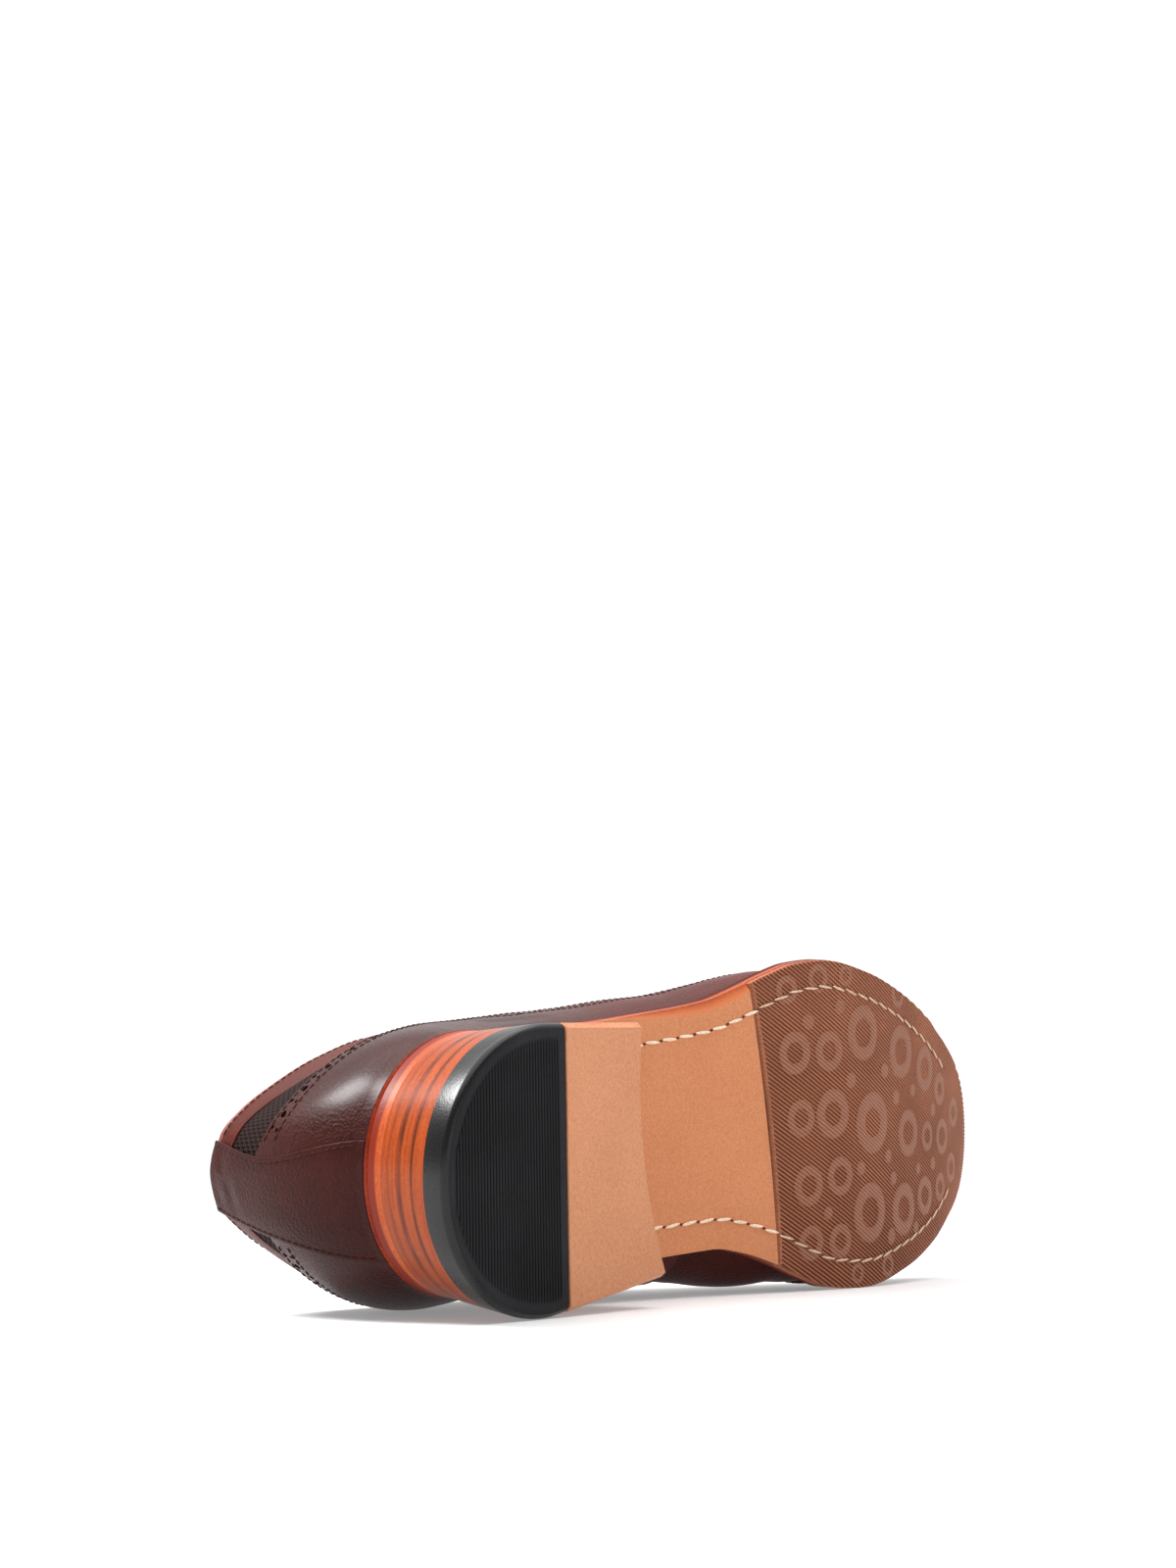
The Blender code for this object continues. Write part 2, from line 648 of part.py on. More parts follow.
def lay_down():
    """Turn the shoe on to the side of its hull that lies under its balance, inner side down."""
    bpy.context.view_layer.update()
    scene = bpy.context.evaluated_depsgraph_get()
    hull = bmesh.new()
    for part in PARTS.objects:
        if part.type == "MESH":
            for vert in part.evaluated_get(scene).data.vertices:
                hull.verts.new(vert.co)
    points = [vert.co.copy() for vert in hull.verts]
    bmesh.ops.convex_hull(hull, input=hull.verts)
    balance = Vector(BALANCE) * MM
    for face in hull.faces:
        flat = [Vector((vert.co.x, vert.co.z)) for vert in face.verts]
        if face.normal.y > 0.5 and intersect_point_tri_2d(balance, *flat):
            down = face.normal.copy()
    hull.free()
    up = -down
    along = (Vector((1, 0, 0)) - up * up.x).normalized()
    turn = Matrix((along, up.cross(along), up))
    laid = np.array([turn @ point for point in points])
    low, high = laid.min(axis=0), laid.max(axis=0)
    centre = Vector(((low[0] + high[0]) / 2, (low[1] + high[1]) / 2, low[2]))
    LAID.matrix_world = Matrix.Translation(-centre) @ turn.to_4x4()


for existing in list(bpy.data.objects):
    bpy.data.objects.remove(existing)
PARTS = bpy.data.collections.new("brogue_shoe")
bpy.context.scene.collection.children.link(PARTS)
LAID = bpy.data.objects.new("laid_shoe", None)
PARTS.objects.link(LAID)

make_sole()
make_heel()
make_upper()
make_overlays()
make_tongue()
make_laces()
lay_down()
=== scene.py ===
"""Looks of a right brogue shoe lying on its inner side.

The forms are worked out standing, in millimetres: X from the heel's back to the toe, Y to the
wearer's inner side, Z up from the ground. LAID_TURN and LAID_SHIFT then lay every piece down as
the solids lie.
"""
import math

import bmesh
import bpy
import numpy as np
from mathutils import Matrix, Vector


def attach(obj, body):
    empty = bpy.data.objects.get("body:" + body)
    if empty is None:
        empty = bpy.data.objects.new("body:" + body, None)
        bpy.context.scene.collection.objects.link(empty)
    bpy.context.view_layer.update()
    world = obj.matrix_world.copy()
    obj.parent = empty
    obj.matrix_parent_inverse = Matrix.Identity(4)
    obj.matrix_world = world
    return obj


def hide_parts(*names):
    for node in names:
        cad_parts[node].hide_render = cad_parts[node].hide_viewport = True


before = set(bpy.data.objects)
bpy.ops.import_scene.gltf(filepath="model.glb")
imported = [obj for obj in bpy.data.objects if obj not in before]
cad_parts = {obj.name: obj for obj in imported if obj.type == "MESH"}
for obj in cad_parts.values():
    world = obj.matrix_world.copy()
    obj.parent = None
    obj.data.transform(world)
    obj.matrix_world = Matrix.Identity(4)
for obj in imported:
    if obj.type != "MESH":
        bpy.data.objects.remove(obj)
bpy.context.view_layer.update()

MM = 0.001
MERGE = 0.01
CRISP = math.radians(42)
WAIST_CRISP = math.radians(24)
ROUNDED_FROM = math.radians(50)
OUTER, INNER = -1, 1
SIDES = (OUTER, INNER)
LAID_TURN = np.array((
    (0.9935303, 0.1132114, -0.0089781),
    (0.0, 0.0790555, 0.9968702),
    (0.1135668, -0.9904208, 0.0785441),
))
LAID_SHIFT = np.array((-0.1491225, -0.0483383, 0.0322551))

# Sole. GAP parts the solids, and LAP is how far a piece reaches past its solid
GAP = 0.3
LAP = 0.1
LENGTH = 300.0
END_MARGIN = 5.0
EDGE_STEPS = 400
SOLE_ROWS = 220
SIDE_SLOPE = 0.9
OUTSOLE_THICK = 4.0
SOLE_ROUND = 0.35
WELT_THICK = 2.3
WELT_WIDTH = 11.0
WELT_STEPS = 16
INSOLE_THICK = 2.6
INSOLE_EASE = 1.2
SOCK_ROUND = 0.8
BALL_X = 214.0
TOE_SPRING = 10.3
TOE_TIP_Y = 13.2
TOE_REACH = 0.55
TOE_ROUND = 0.48

# Bevel on the outer side of the waist: where it sets in and dies out, its width and its rise
WAIST_START = (92.0, 140.0)
WAIST_STOP = (150.0, 164.0)
WAIST_BEVEL = 2.8
WAIST_RISE = 1.9

# Profile of the welt: inset from the outsole's edge, height
WELT_PROFILE = (
    (WELT_WIDTH, 0.0),
    (1.2, 0.0),
    (0.3, 0.3),
    (-0.15, 1.15),
    (0.3, 2.0),
    (1.2, WELT_THICK),
    (WELT_WIDTH, WELT_THICK),
)

# Heel block
HEEL_DEPTH = 41.4
HEEL_HALF = 37.4
HEEL_ROUND = 2.08
HEEL_TAPER = 0.05
HEEL_SKEW = 0.036
HEEL_TOP = 23.8
HEEL_FLARE = 2.7
HEEL_ROWS = 120
HEEL_EDGE_ROUND = 0.6
TOP_PIECE_THICK = 8.2
EDGE_TURN = 1.5
RUBBER_LINE_X = 47.5
BREAST_X = 86.2
BREAST_HOLLOW = 4.9
BREAST_SLANT = 4.5
BOW_POWER = 6

# Heights between which the four lifts lie
LIFT_LINES = (8.3, 12.1, 16.5, 20.6, 24.1)

# Dark lines on the stack: height, half width, strength
STACK_LINES = (
    (12.5, 1.05, 0.9),
    (17.2, 1.50, 1.0),
    (21.2, 1.10, 0.45),
)

# Rim of the heel's rubber, and the ribs inside it. A groove's walls lie between two levels
RIM_ROUND = 2.4
RIM_TURNS = np.radians((25, 50, 75))
RIB_PITCH = 1.14
RIB_DEPTH = 0.34
RIB_LAP = 0.02
RIB_SINK = 0.05
RIB_INSET = 3.6
RIB_BACK = 0.25
RIB_FRONT = 2.6
RIB_ROWS = 8 * 36
HEEL_GROOVE = (0.3, 0.8)

# Tread. What is PROUD stands out of the ground face, and a border SINKS below the ribs
TREAD_THICK = 2.0
TREAD_INSET = 0.2
TREAD_STEP = 0.1
TREAD_LINE_X = 159.0
TREAD_LINE_SLANT = 4.5
TREAD_BOW = 2.0
TREAD_BOW_REACH = 22.0
TREAD_RIB_PITCH = 1.15
TREAD_RIB_DEPTH = 0.38
TREAD_RIB_SINK = 0.15
TREAD_RIB_TRIM = 0.02
TREAD_RIB_LIP = 0.5
TREAD_RIB_LEAST = 1.2
LIP_SHADE = 0.3
TREAD_RIB_STEPS = 6
TREAD_RIB_COLUMNS = 22
TREAD_RIB_TURN = math.radians(33)
RIB_ALONG = np.array((math.cos(TREAD_RIB_TURN), math.sin(TREAD_RIB_TURN)))
RIB_ACROSS = np.array((-RIB_ALONG[1], RIB_ALONG[0]))
TREAD_GROOVE = (0.35, 0.85)
RING_MARGIN = 0.7
RING_PROUD = 0.04
RING_SINK = 0.1
BORDER_START = 0.45
BORDER_WIDE = 1.5
BORDER_NOTCHES = 70
BORDER_NOTCH = 0.12
NOTCH_SHADE = 3
BORDER_PROUD = 0.05
BORDER_SINK = 0.5

# Sole stitches. The sizes of a stitch are its half length, half width and height
NEARBY = 0.5
STITCH_INSET = 8.7
STITCH_START = BREAST_X - 8.0
STITCH_END = 274.0
STITCH_PITCH = 6.8
STITCH_SLANT = 0.12
STITCH_PROUD = 0.12
STITCH_CHANGE = 1.0
WAIST_STITCH = (3.0, 0.54, 0.4)
TREAD_STITCH = (3.35, 0.42, 0.3)
STITCH_HOLE = (0.7, 0.42, 0.16)
CHANNEL_START = 2.0
CHANNEL_WIDE = 1.2
CHANNEL_PROUD = 0.06

# Upper. Shares run along the sole's edge from the heel to the toe, rises from the foot of the wall
# to its top line
WALL = 2.0
WALL_HEIGHT = 62.0
NORMAL_PULL = 30.0
TRIM_THICK = 0.3
BINDING_END = 0.372
BINDING_BELOW = 0.93
BINDING_STEPS = 14
WEAVE_END = 0.108
GUSSET_LIFT = 0.1
GUSSET_FOOT_LAP = 0.06
GUSSET_HEAD_LAP = 0.04
GUSSET_LEAST = 0.02
PANEL_START = 0.012
PANEL_END = 0.362
PANEL_HEAD = 0.99
PANEL_LAP = 0.03
PANEL_LIFT = 0.12
PANEL_ROUND = 0.1
COLLAR_PAD = 0.3
PAD_FOOT = 0.62
PAD_HEIGHT = 0.42

# Profile of the collar's binding: outwards from the wall, up from the top line
BINDING_PROFILE = (
    (0.32, -3.6),
    (0.5, -2.4),
    (0.55, -0.6),
    (0.1, 0.5),
    (-1.0, 0.9),
    (-2.1, 0.5),
    (-2.5, -0.6),
    (-2.4, -3.6),
)

# Overlays
OVERLAY_GAP = 0.25
OVERLAY_THICK = 0.95
OVERLAY_TOP = OVERLAY_GAP + OVERLAY_THICK
OVERLAY_ROUND = 0.28
OVERLAY_FOOT = 0.006
OVERLAY_HEAD = 0.985
SKIRT = 1.5
STRIP_STEP = 0.4
STRIP_MEET = 0.6
STRIP_FOLD = 0.14
STRIP_FOLD_WIDE = 0.5
FOXING_FRONT = {OUTER: 0.558, INNER: 0.449}
FOXING_LEAN = 0.02
FOXING_TUCK = -0.006
GIMP_PITCH = 2.3
GIMP_DEPTH = 0.6
WING_GIMP = 0.7
WING_RUN = 95.0
WING_SHIFT = 0.05
WING_SHIFT_RISE = (0.1, 0.5)

# Pierced rows: insets from the overlays' borders, where the rows start and stop, and the holes
FOXING_HOLES = 3.6
FOXING_HOLES_START = 0.012
WING_HOLES = 4.2
WING_HOLES_RISE = (0.06, 0.985)
FACING_HOLES = 3.4
FACING_HOLES_ENDS = (0.012, -0.008)
HOLE_LIFT = 0.02
HOLE_PITCH = 4.3
HOLE_ENDS = (3.0, 2.0)
LARGE_HOLE = 1.05
SMALL_HOLE = 0.55
PAIR_SHIFTS = (-1.15, 1.15)

# Seams: insets from the borders, where the seams start and stop, and the stitches
STRIP_SEAM = 1.2
STRIP_SEAM_RISE = (0.03, 0.97)
FOXING_SEAMS = (1.5, 6.2)
FOXING_SEAMS_START = 0.01
WING_SEAMS = (1.6, 7.0)
WING_SEAMS_RISE = (0.03, 0.99)
FACING_SEAMS = (1.5, 1.6)
FACING_SEAMS_ENDS = (0.006, -0.004)
COLLAR_SEAM_START = 0.03
COLLAR_SEAM_RISE = 0.953
COLLAR_SEAM_LIFT = 0.62
SEAM_LIFT = 0.05
SEAM_PITCH = 2.3
SEAM_STITCH = (0.95, 0.26, 0.2)

# Tongue and laces
TONGUE_DEPTH = 3.6
TONGUE_THICK = 1.8
TONGUE_REACH = 11.0
TONGUE_ROUND = 0.5
TONGUE_APART = 0.2
TONGUE_AHEAD = 0.03
LACE_RADIUS = 1.25
LACE_SHARES = (0.402, 0.437, 0.472, 0.507, 0.542)
LACE_HOLE = 0.90
LACE_LIFT = OVERLAY_TOP + GAP + LACE_RADIUS + 0.25
LACE_UP = (0.35, 0.0, 1.0)
LACE_POINTS = 9
LACE_ROWS = 48
LACE_SIDES = 12
EYELET_DROP = 0.006
EYELET_AHEAD = 0.01

# Half a lace from its eyelet to the middle of the throat: rise on the wall, height above it
LACE_COURSE = (
    (LACE_HOLE - 0.012, 0.9),
    (LACE_HOLE, 2.2),
    (LACE_HOLE + 0.025, LACE_LIFT),
    (0.955, LACE_LIFT),
    (1.0, LACE_LIFT),
)

# Profile of an eyelet's rim: radius, height
EYELET_PROFILE = (
    (2.1, 0.0),
    (2.0, 0.32),
    (1.7, 0.42),
    (1.45, 0.3),
    (1.4, 0.02),
)

# Edge of the outsole: share of the length, half widths on the outer and the inner side
EDGE = (
    (0.138, 34.7, 34.7),
    (0.220, 33.5, 34.3),
    (0.300, 34.2, 36.1),
    (0.380, 35.7, 35.5),
    (0.460, 38.2, 35.6),
    (0.500, 41.6, 38.2),
    (0.540, 45.7, 42.8),
    (0.580, 48.8, 48.6),
    (0.620, 49.6, 53.4),
    (0.700, 45.2, 56.4),
    (0.780, 37.6, 54.3),
    (0.860, 27.4, 49.3),
    (0.930, 15.3, 41.2),
)

# Inset of the upper's foot from the outsole's edge, by share along the edge
FEATHER = (
    (0.00, 1.4),
    (0.20, 1.6),
    (0.35, 2.5),
    (0.50, 4.0),
    (0.65, 5.5),
    (1.00, 5.5),
)

# Upper: share along the edge, top line (x, half width, z), and the two handles of the wall's
# curve: outwards and up from the foot, outwards and down from the top line
STATIONS = (
    (0.000, 8.2, 0.0, 90.4, 7.0, 20.0, 5.5, 18.0),
    (0.030, 9.3, 9.0, 88.9, 7.5, 20.0, 5.5, 18.0),
    (0.060, 15.0, 15.4, 87.7, 8.0, 20.0, 6.0, 18.0),
    (0.100, 24.5, 21.8, 85.8, 9.0, 19.0, 7.0, 17.0),
    (0.147, 38.0, 28.6, 82.6, 10.0, 18.0, 8.0, 16.0),
    (0.200, 54.0, 33.0, 79.4, 10.0, 18.0, 7.0, 16.0),
    (0.250, 71.0, 33.6, 77.6, 9.0, 18.0, 7.0, 16.0),
    (0.310, 95.0, 26.5, 84.0, 10.0, 18.0, 15.0, 12.0),
    (0.365, 117.0, 11.5, 98.5, 12.0, 20.0, 29.0, 9.0),
    (0.420, 134.0, 8.8, 90.0, 15.0, 20.0, 27.0, 5.0),
    (0.490, 157.0, 6.0, 79.0, 11.5, 18.0, 27.0, 3.0),
    (0.565, 181.0, 2.6, 68.5, 6.5, 15.0, 30.0, 1.0),
    (0.590, 188.0, 0.0, 65.8, 5.0, 14.0, 30.0, 0.0),
    (0.680, 215.0, 0.0, 56.5, 4.0, 13.0, 26.0, 0.0),
    (0.770, 240.0, 0.0, 48.6, 3.5, 12.0, 22.0, 0.0),
    (0.860, 257.0, 0.0, 43.8, 3.0, 12.0, 17.0, 0.0),
    (0.930, 266.0, 0.0, 41.3, 3.0, 11.0, 14.0, 0.0),
    (1.000, 270.0, 0.0, 40.2, 3.0, 11.0, 13.0, 0.0),
)
TOP_FIELDS = ("x", "half", "z", "foot_out", "foot_rise", "top_out", "top_drop")

# How full the wall is: share along the edge, outer side, inner side low down and near its top
FULLNESS = (
    (0.00, 0.95, 0.95, 0.95),
    (0.04, 0.75, 0.92, 0.92),
    (0.10, 0.44, 0.92, 0.92),
    (0.15, 0.34, 0.93, 0.93),
    (0.20, 0.46, 0.95, 0.95),
    (0.26, 0.60, 1.02, 1.02),
    (0.32, 0.76, 1.18, 1.10),
    (0.38, 0.82, 1.58, 1.15),
    (0.44, 0.88, 2.15, 1.20),
    (0.50, 0.96, 3.05, 1.25),
    (0.56, 0.99, 3.90, 1.22),
    (0.62, 1.00, 3.60, 1.10),
    (0.70, 1.00, 1.40, 1.00),
    (0.76, 1.00, 1.00, 1.00),
    (1.00, 1.00, 1.00, 1.00),
)

# Fall of the vamp's ridge towards the toe: share along the edge, slope
RIDGE = (
    (0.00, 0.00),
    (0.49, 0.00),
    (0.59, 0.37),
    (0.77, 0.30),
    (1.00, 0.26),
)

# Middle of the top line: x, drift to the inner side
MIDDLE = (
    (8.2, 2.4),
    (30.0, 3.2),
    (117.0, 3.5),
    (160.0, 3.7),
    (188.0, 4.6),
    (215.0, 6.6),
    (240.0, 9.4),
    (270.0, 12.2),
)

# Back strip: height on the wall, share of its outer and of its inner edge
STRIP_EDGE = (
    (0.0, 0.024, 0.074),
    (0.5, 0.010, 0.052),
    (1.0, 0.026, 0.032),
)

# Top edge of the foxing: share along the edge, heights on the outer and the inner wall
FOXING_TOP = (
    (0.000, 0.630, 0.61),
    (0.030, 0.565, 0.61),
    (0.055, 0.515, 0.61),
    (0.090, 0.475, 0.62),
    (0.130, 0.455, 0.63),
    (0.180, 0.500, 0.67),
    (0.220, 0.530, 0.68),
    (0.260, 0.525, 0.69),
    (0.300, 0.445, 0.62),
    (0.350, 0.345, 0.52),
    (0.400, 0.320, 0.42),
    (0.480, 0.330, 0.38),
    (0.600, 0.340, 0.36),
)

# Lower edge of the collar panel above the woven gusset: share, height on the wall
COLLAR_EDGE = (
    (0.000, 0.860),
    (0.024, 0.830),
    (0.035, 0.812),
    (0.055, 0.765),
    (0.076, 0.665),
    (0.096, 0.550),
    (0.112, 0.455),
)

# Rear edge of the wing: height on the wall, share along the edge
WING_EDGE = (
    (0.00, 0.569),
    (0.25, 0.588),
    (0.36, 0.604),
    (0.50, 0.636),
    (0.65, 0.670),
    (0.80, 0.690),
    (0.92, 0.682),
    (1.00, 0.655),
)

# Facing beside the throat: from share, to share, and heights on the wall
FACING = (0.374, 0.572, 0.78, 0.985)

# Tongue: from share, to share, edge's height on the wall above and below, free part of its length
TONGUE = (0.40, 0.62, 0.84, 0.70, 0.15)

# Rings on the tread: x, y, outer radius, inner radius
TREAD_RINGS = (
    (172.6, -20.8, 6.8, 3.3),
    (188.2, -20.5, 6.5, 3.1),
    (206.6, -25.3, 9.1, 4.6),
    (232.8, -17.5, 9.0, 4.4),
    (174.6, -0.3, 5.9, 3.0),
    (189.3, -0.6, 7.9, 3.8),
    (211.1, 4.1, 10.0, 4.7),
    (236.8, 10.0, 7.9, 4.0),
    (253.5, 12.8, 5.2, 2.5),
    (268.7, 14.5, 6.3, 3.2),
    (177.3, 20.8, 6.4, 3.2),
    (192.1, 19.3, 6.3, 3.1),
    (208.1, 32.7, 9.7, 4.8),
    (231.6, 34.7, 8.7, 4.2),
    (249.8, 32.6, 6.7, 3.2),
    (265.1, 31.7, 5.0, 2.3),
    (278.2, 26.6, 5.3, 2.5),
    (177.6, 38.6, 5.5, 2.7),
    (191.3, 39.6, 5.5, 2.6),
    (199.7, 51.0, 3.4, 1.7),
    (218.5, 51.2, 4.0, 2.0),
    (253.0, -10.4, 7.8, 3.7),
    (267.5, -2.1, 5.8, 2.2),
    (282.9, 7.6, 5.4, 2.4),
    (169.7, -40.6, 4.6, 2.2),
    (183.7, -43.8, 4.6, 2.3),
    (197.4, -44.4, 3.6, 1.8),
    (231.6, -37.0, 5.0, 2.5),
)

# Dots on the tread: x, y, radius
TREAD_DOTS = (
    (178.8, -30.3, 2.6),
    (193.9, -34.4, 2.5),
    (198.9, -10.5, 2.5),
    (220.1, -12.1, 2.6),
    (227.9, -2.6, 2.5),
    (203.2, 18.0, 2.4),
    (220.9, 16.1, 2.3),
    (224.4, 23.6, 2.3),
    (185.7, 30.2, 2.1),
    (221.8, 42.2, 2.7),
    (259.8, 4.5, 2.4),
    (241.4, -3.9, 2.2),
    (244.3, 22.9, 2.0),
    (258.2, 22.8, 2.3),
    (241.1, 42.1, 2.2),
)

# Soft creases: side, then share and height of both ends, width and depth in millimetres
CREASES = (
    (OUTER, 0.000, 0.90, 0.012, 0.86, 2.2, 0.30),
    (INNER, 0.004, 0.83, 0.030, 0.80, 2.4, 0.28),
    (INNER, 0.010, 0.93, 0.028, 0.90, 2.0, 0.24),
    (OUTER, 0.275, 0.36, 0.335, 0.30, 3.2, 0.50),
    (OUTER, 0.240, 0.24, 0.300, 0.20, 3.0, 0.35),
    (OUTER, 0.560, 0.60, 0.575, 0.96, 3.2, 0.55),
    (OUTER, 0.590, 0.62, 0.600, 0.95, 3.0, 0.40),
    (INNER, 0.560, 0.60, 0.575, 0.96, 3.2, 0.55),
    (INNER, 0.590, 0.62, 0.600, 0.95, 3.0, 0.40),
    (INNER, 0.270, 0.30, 0.330, 0.34, 3.0, 0.45),
)
CREASE_POINTS = 9

# Raised rim beside a crease: share of its depth, then its place and spread in widths
CREASE_RIM = (0.35, 1.9, 0.7)


# Form of the shoe

def smooth_through(table, column):
    """A function of the table's first column through another one, without overshoot."""
    rows = np.array(table, dtype=float)
    xs, ys = rows[:, 0], rows[:, column]
    step = np.diff(xs)
    rate = np.diff(ys) / step
    slope = np.concatenate([rate[:1], np.zeros(len(xs) - 2), rate[-1:]])
    for i in range(1, len(xs) - 1):
        if rate[i - 1] * rate[i] > 0:
            before, after = 2 * step[i] + step[i - 1], step[i] + 2 * step[i - 1]
            slope[i] = (before + after) / (before / rate[i - 1] + after / rate[i])

    def at(x):
        i = np.clip(np.searchsorted(xs, x) - 1, 0, len(step) - 1)
        t = (x - xs[i]) / step[i]
        start = (1 + 2 * t) * (1 - t) ** 2 * ys[i] + t * (1 - t) ** 2 * step[i] * slope[i]
        end = t * t * (3 - 2 * t) * ys[i + 1] + t * t * (t - 1) * step[i] * slope[i + 1]
        return start + end

    return at


def level_start(table, column):
    """The same function, level where the table starts."""
    rows = np.array(table, dtype=float)
    mirrored = rows[:0:-1] * 1.0
    mirrored[:, 0] = 2 * rows[0, 0] - mirrored[:, 0]
    return smooth_through(np.vstack([mirrored, rows]), column)


def bezier(p0, p1, p2, p3, t):
    """A point on a cubic curve."""
    return (1 - t) ** 3 * p0 + 3 * (1 - t) ** 2 * t * p1 + 3 * (1 - t) * t * t * p2 + t ** 3 * p3


def unit(vectors):
    return vectors / np.linalg.norm(vectors, axis=-1, keepdims=True)


def eased(x, low, high):
    """0 below low, 1 above high, smooth between."""
    t = np.clip((x - low) / (high - low), 0.0, 1.0)
    return t * t * (3 - 2 * t)


def ribbed(run, pitch, walls):
    """0 on the ribs of a row, 1 in the grooves between them."""
    return eased(0.5 - 0.5 * np.cos(2 * math.pi * run / pitch), *walls)


def run_of(points):
    """Distance along a polyline at each of its points."""
    return np.concatenate([[0.0], np.cumsum(np.linalg.norm(np.diff(points, axis=0), axis=1))])


def along_path(at, run, values):
    """Points or directions between those of a path, by the distance along it."""
    return np.stack([np.interp(at, run, column) for column in values.T], -1)


def resampled(points, count):
    """The same curve with count + 1 points at equal distances."""
    run = run_of(points)
    return along_path(np.linspace(0.0, run[-1], count + 1), run, points)


def on_profile(profile, across):
    """Both coordinates of a profile, by the share of the way across it."""
    return along_path(across, np.linspace(0, 1, len(profile)), profile).T


def inward(points, side):
    """Unit directions towards the shoe's inside along a half outline, lengthwise at its ends."""
    along = unit(np.gradient(points, axis=0))
    turned = np.column_stack([along[:, 1], -along[:, 0]]) * side
    turned[0], turned[-1] = (1, 0), (-1, 0)
    return turned


def inset_curve(points, side, distance):
    """A half outline moved towards the shoe's inside."""
    return points + inward(points, side) * np.reshape(distance, (-1, 1))


def heel_half(side, inset):
    """Half outline of the heel from its back to its widest section, and the half width there."""
    angle = np.linspace(0.0, math.pi / 2, 60)
    depth, half = HEEL_DEPTH - inset, HEEL_HALF - inset
    x = HEEL_DEPTH - depth * np.cos(angle) ** (2 / HEEL_ROUND)
    y = side * half * np.sin(angle) ** (2 / HEEL_ROUND) - HEEL_SKEW * (HEEL_DEPTH - x)
    return np.column_stack([x, y]), half


def outsole_half(side):
    """Half outline of the outsole, from the heel's back to the toe's tip."""
    heel, _ = heel_half(side, HEEL_FLARE)
    width = smooth_through(EDGE, 1 if side == OUTER else 2)
    end = EDGE[-1][0]
    shares = np.linspace(EDGE[0][0], end, 240)[1:]
    flank = np.column_stack([shares * LENGTH, side * width(shares)])
    corner, tip = flank[-1], np.array([LENGTH, TOE_TIP_Y])
    step = 0.01
    slope = side * (width(end) - width(end - step)) / (step * LENGTH)
    reach = TOE_REACH * (LENGTH - corner[0])
    first = corner + np.array([reach, slope * reach])
    second = tip + np.array([0.0, (corner[1] - TOE_TIP_Y) * TOE_ROUND])
    t = np.linspace(0.0, 1.0, 60)[1:, None]
    return np.vstack([heel, flank, bezier(corner, first, second, tip, t)])


EDGES = {side: resampled(outsole_half(side), EDGE_STEPS) for side in SIDES}
EDGE_RUN = {side: run_of(EDGES[side])[-1] for side in SIDES}


def underside(x):
    """Height of the sole's ground face: heel seat, arch, ball and toe spring."""
    arch = np.clip((x - BREAST_X) / (BALL_X - BREAST_X), 0.0, 1.0)
    toe = np.clip((x - BALL_X) / (LENGTH - BALL_X), 0.0, 1.0)
    return (HEEL_TOP + GAP) * (1 - arch) ** 2 * (1 + 2 * arch) + TOE_SPRING * toe ** 2


def seat_height(x):
    """Height of the welt's top."""
    return underside(x) + OUTSOLE_THICK + GAP + WELT_THICK


def tread_line(side):
    """Where the tread begins at one edge of the sole."""
    return TREAD_LINE_X + side * TREAD_LINE_SLANT


def bowed(across):
    """0 at both edges, 1 halfway across."""
    return 1 - (2 * across - 1) ** 2


def tread_bow(x, across):
    """How far the sole's pieces bend towards the toe beside the tread line, across the sole."""
    return TREAD_BOW * np.exp(-((x - TREAD_LINE_X) / TREAD_BOW_REACH) ** 2) * bowed(across)


def edge_between(side, start, stop, inset, count):
    """A stretch of the outsole's edge between two x positions, moved inwards."""
    curve = inset_curve(EDGES[side], side, inset)
    inside = (curve[:, 0] > start) & (curve[:, 0] < stop)
    cuts = [x for x in (start, stop) if END_MARGIN < x < LENGTH - END_MARGIN]
    ends = [[[x, np.interp(x, curve[:, 0], curve[:, 1])]] for x in cuts]
    points = np.vstack([curve[inside], *ends])
    return resampled(points[np.argsort(points[:, 0], kind="stable")], count)


def heel_between(side, start, stop, inset, count):
    """A stretch of the heel block's side between two x positions."""
    back, half = heel_half(side, inset)
    front = np.linspace(HEEL_DEPTH, stop, 30)[1:]
    flank = np.column_stack([front, side * (half - HEEL_TAPER * (front - HEEL_DEPTH))])
    curve = np.vstack([back, flank])
    if start > 0:
        entry = [start, np.interp(start, curve[:, 0], curve[:, 1])]
        curve = np.vstack([[entry], curve[curve[:, 0] > start]])
    return resampled(curve, count)


TOP = {field: (smooth_through if field == "half" else level_start)(STATIONS, k + 1)
       for k, field in enumerate(TOP_FIELDS)}
TOP_MIDDLE = smooth_through(MIDDLE, 1)
FEATHER_INSET = level_start(FEATHER, 1)
EDGE_SHARES = np.linspace(0.0, 1.0, EDGE_STEPS + 1)
FEET = {side: inset_curve(EDGES[side], side, FEATHER_INSET(EDGE_SHARES)) for side in SIDES}
OUTWARD = {side: -inward(EDGES[side], side) for side in SIDES}
FULL = {OUTER: [level_start(FULLNESS, k) for k in (1, 1)],
        INNER: [level_start(FULLNESS, k) for k in (2, 3)]}
ON_RIDGE = smooth_through(RIDGE, 1)
STRIP_SIDE, FOXING_EDGE = ({side: smooth_through(table, k) for k, side in enumerate(SIDES, start=1)}
                           for table in (STRIP_EDGE, FOXING_TOP))
COLLAR_FOOT = smooth_through(COLLAR_EDGE, 1)
WING_REAR = smooth_through(WING_EDGE, 1)


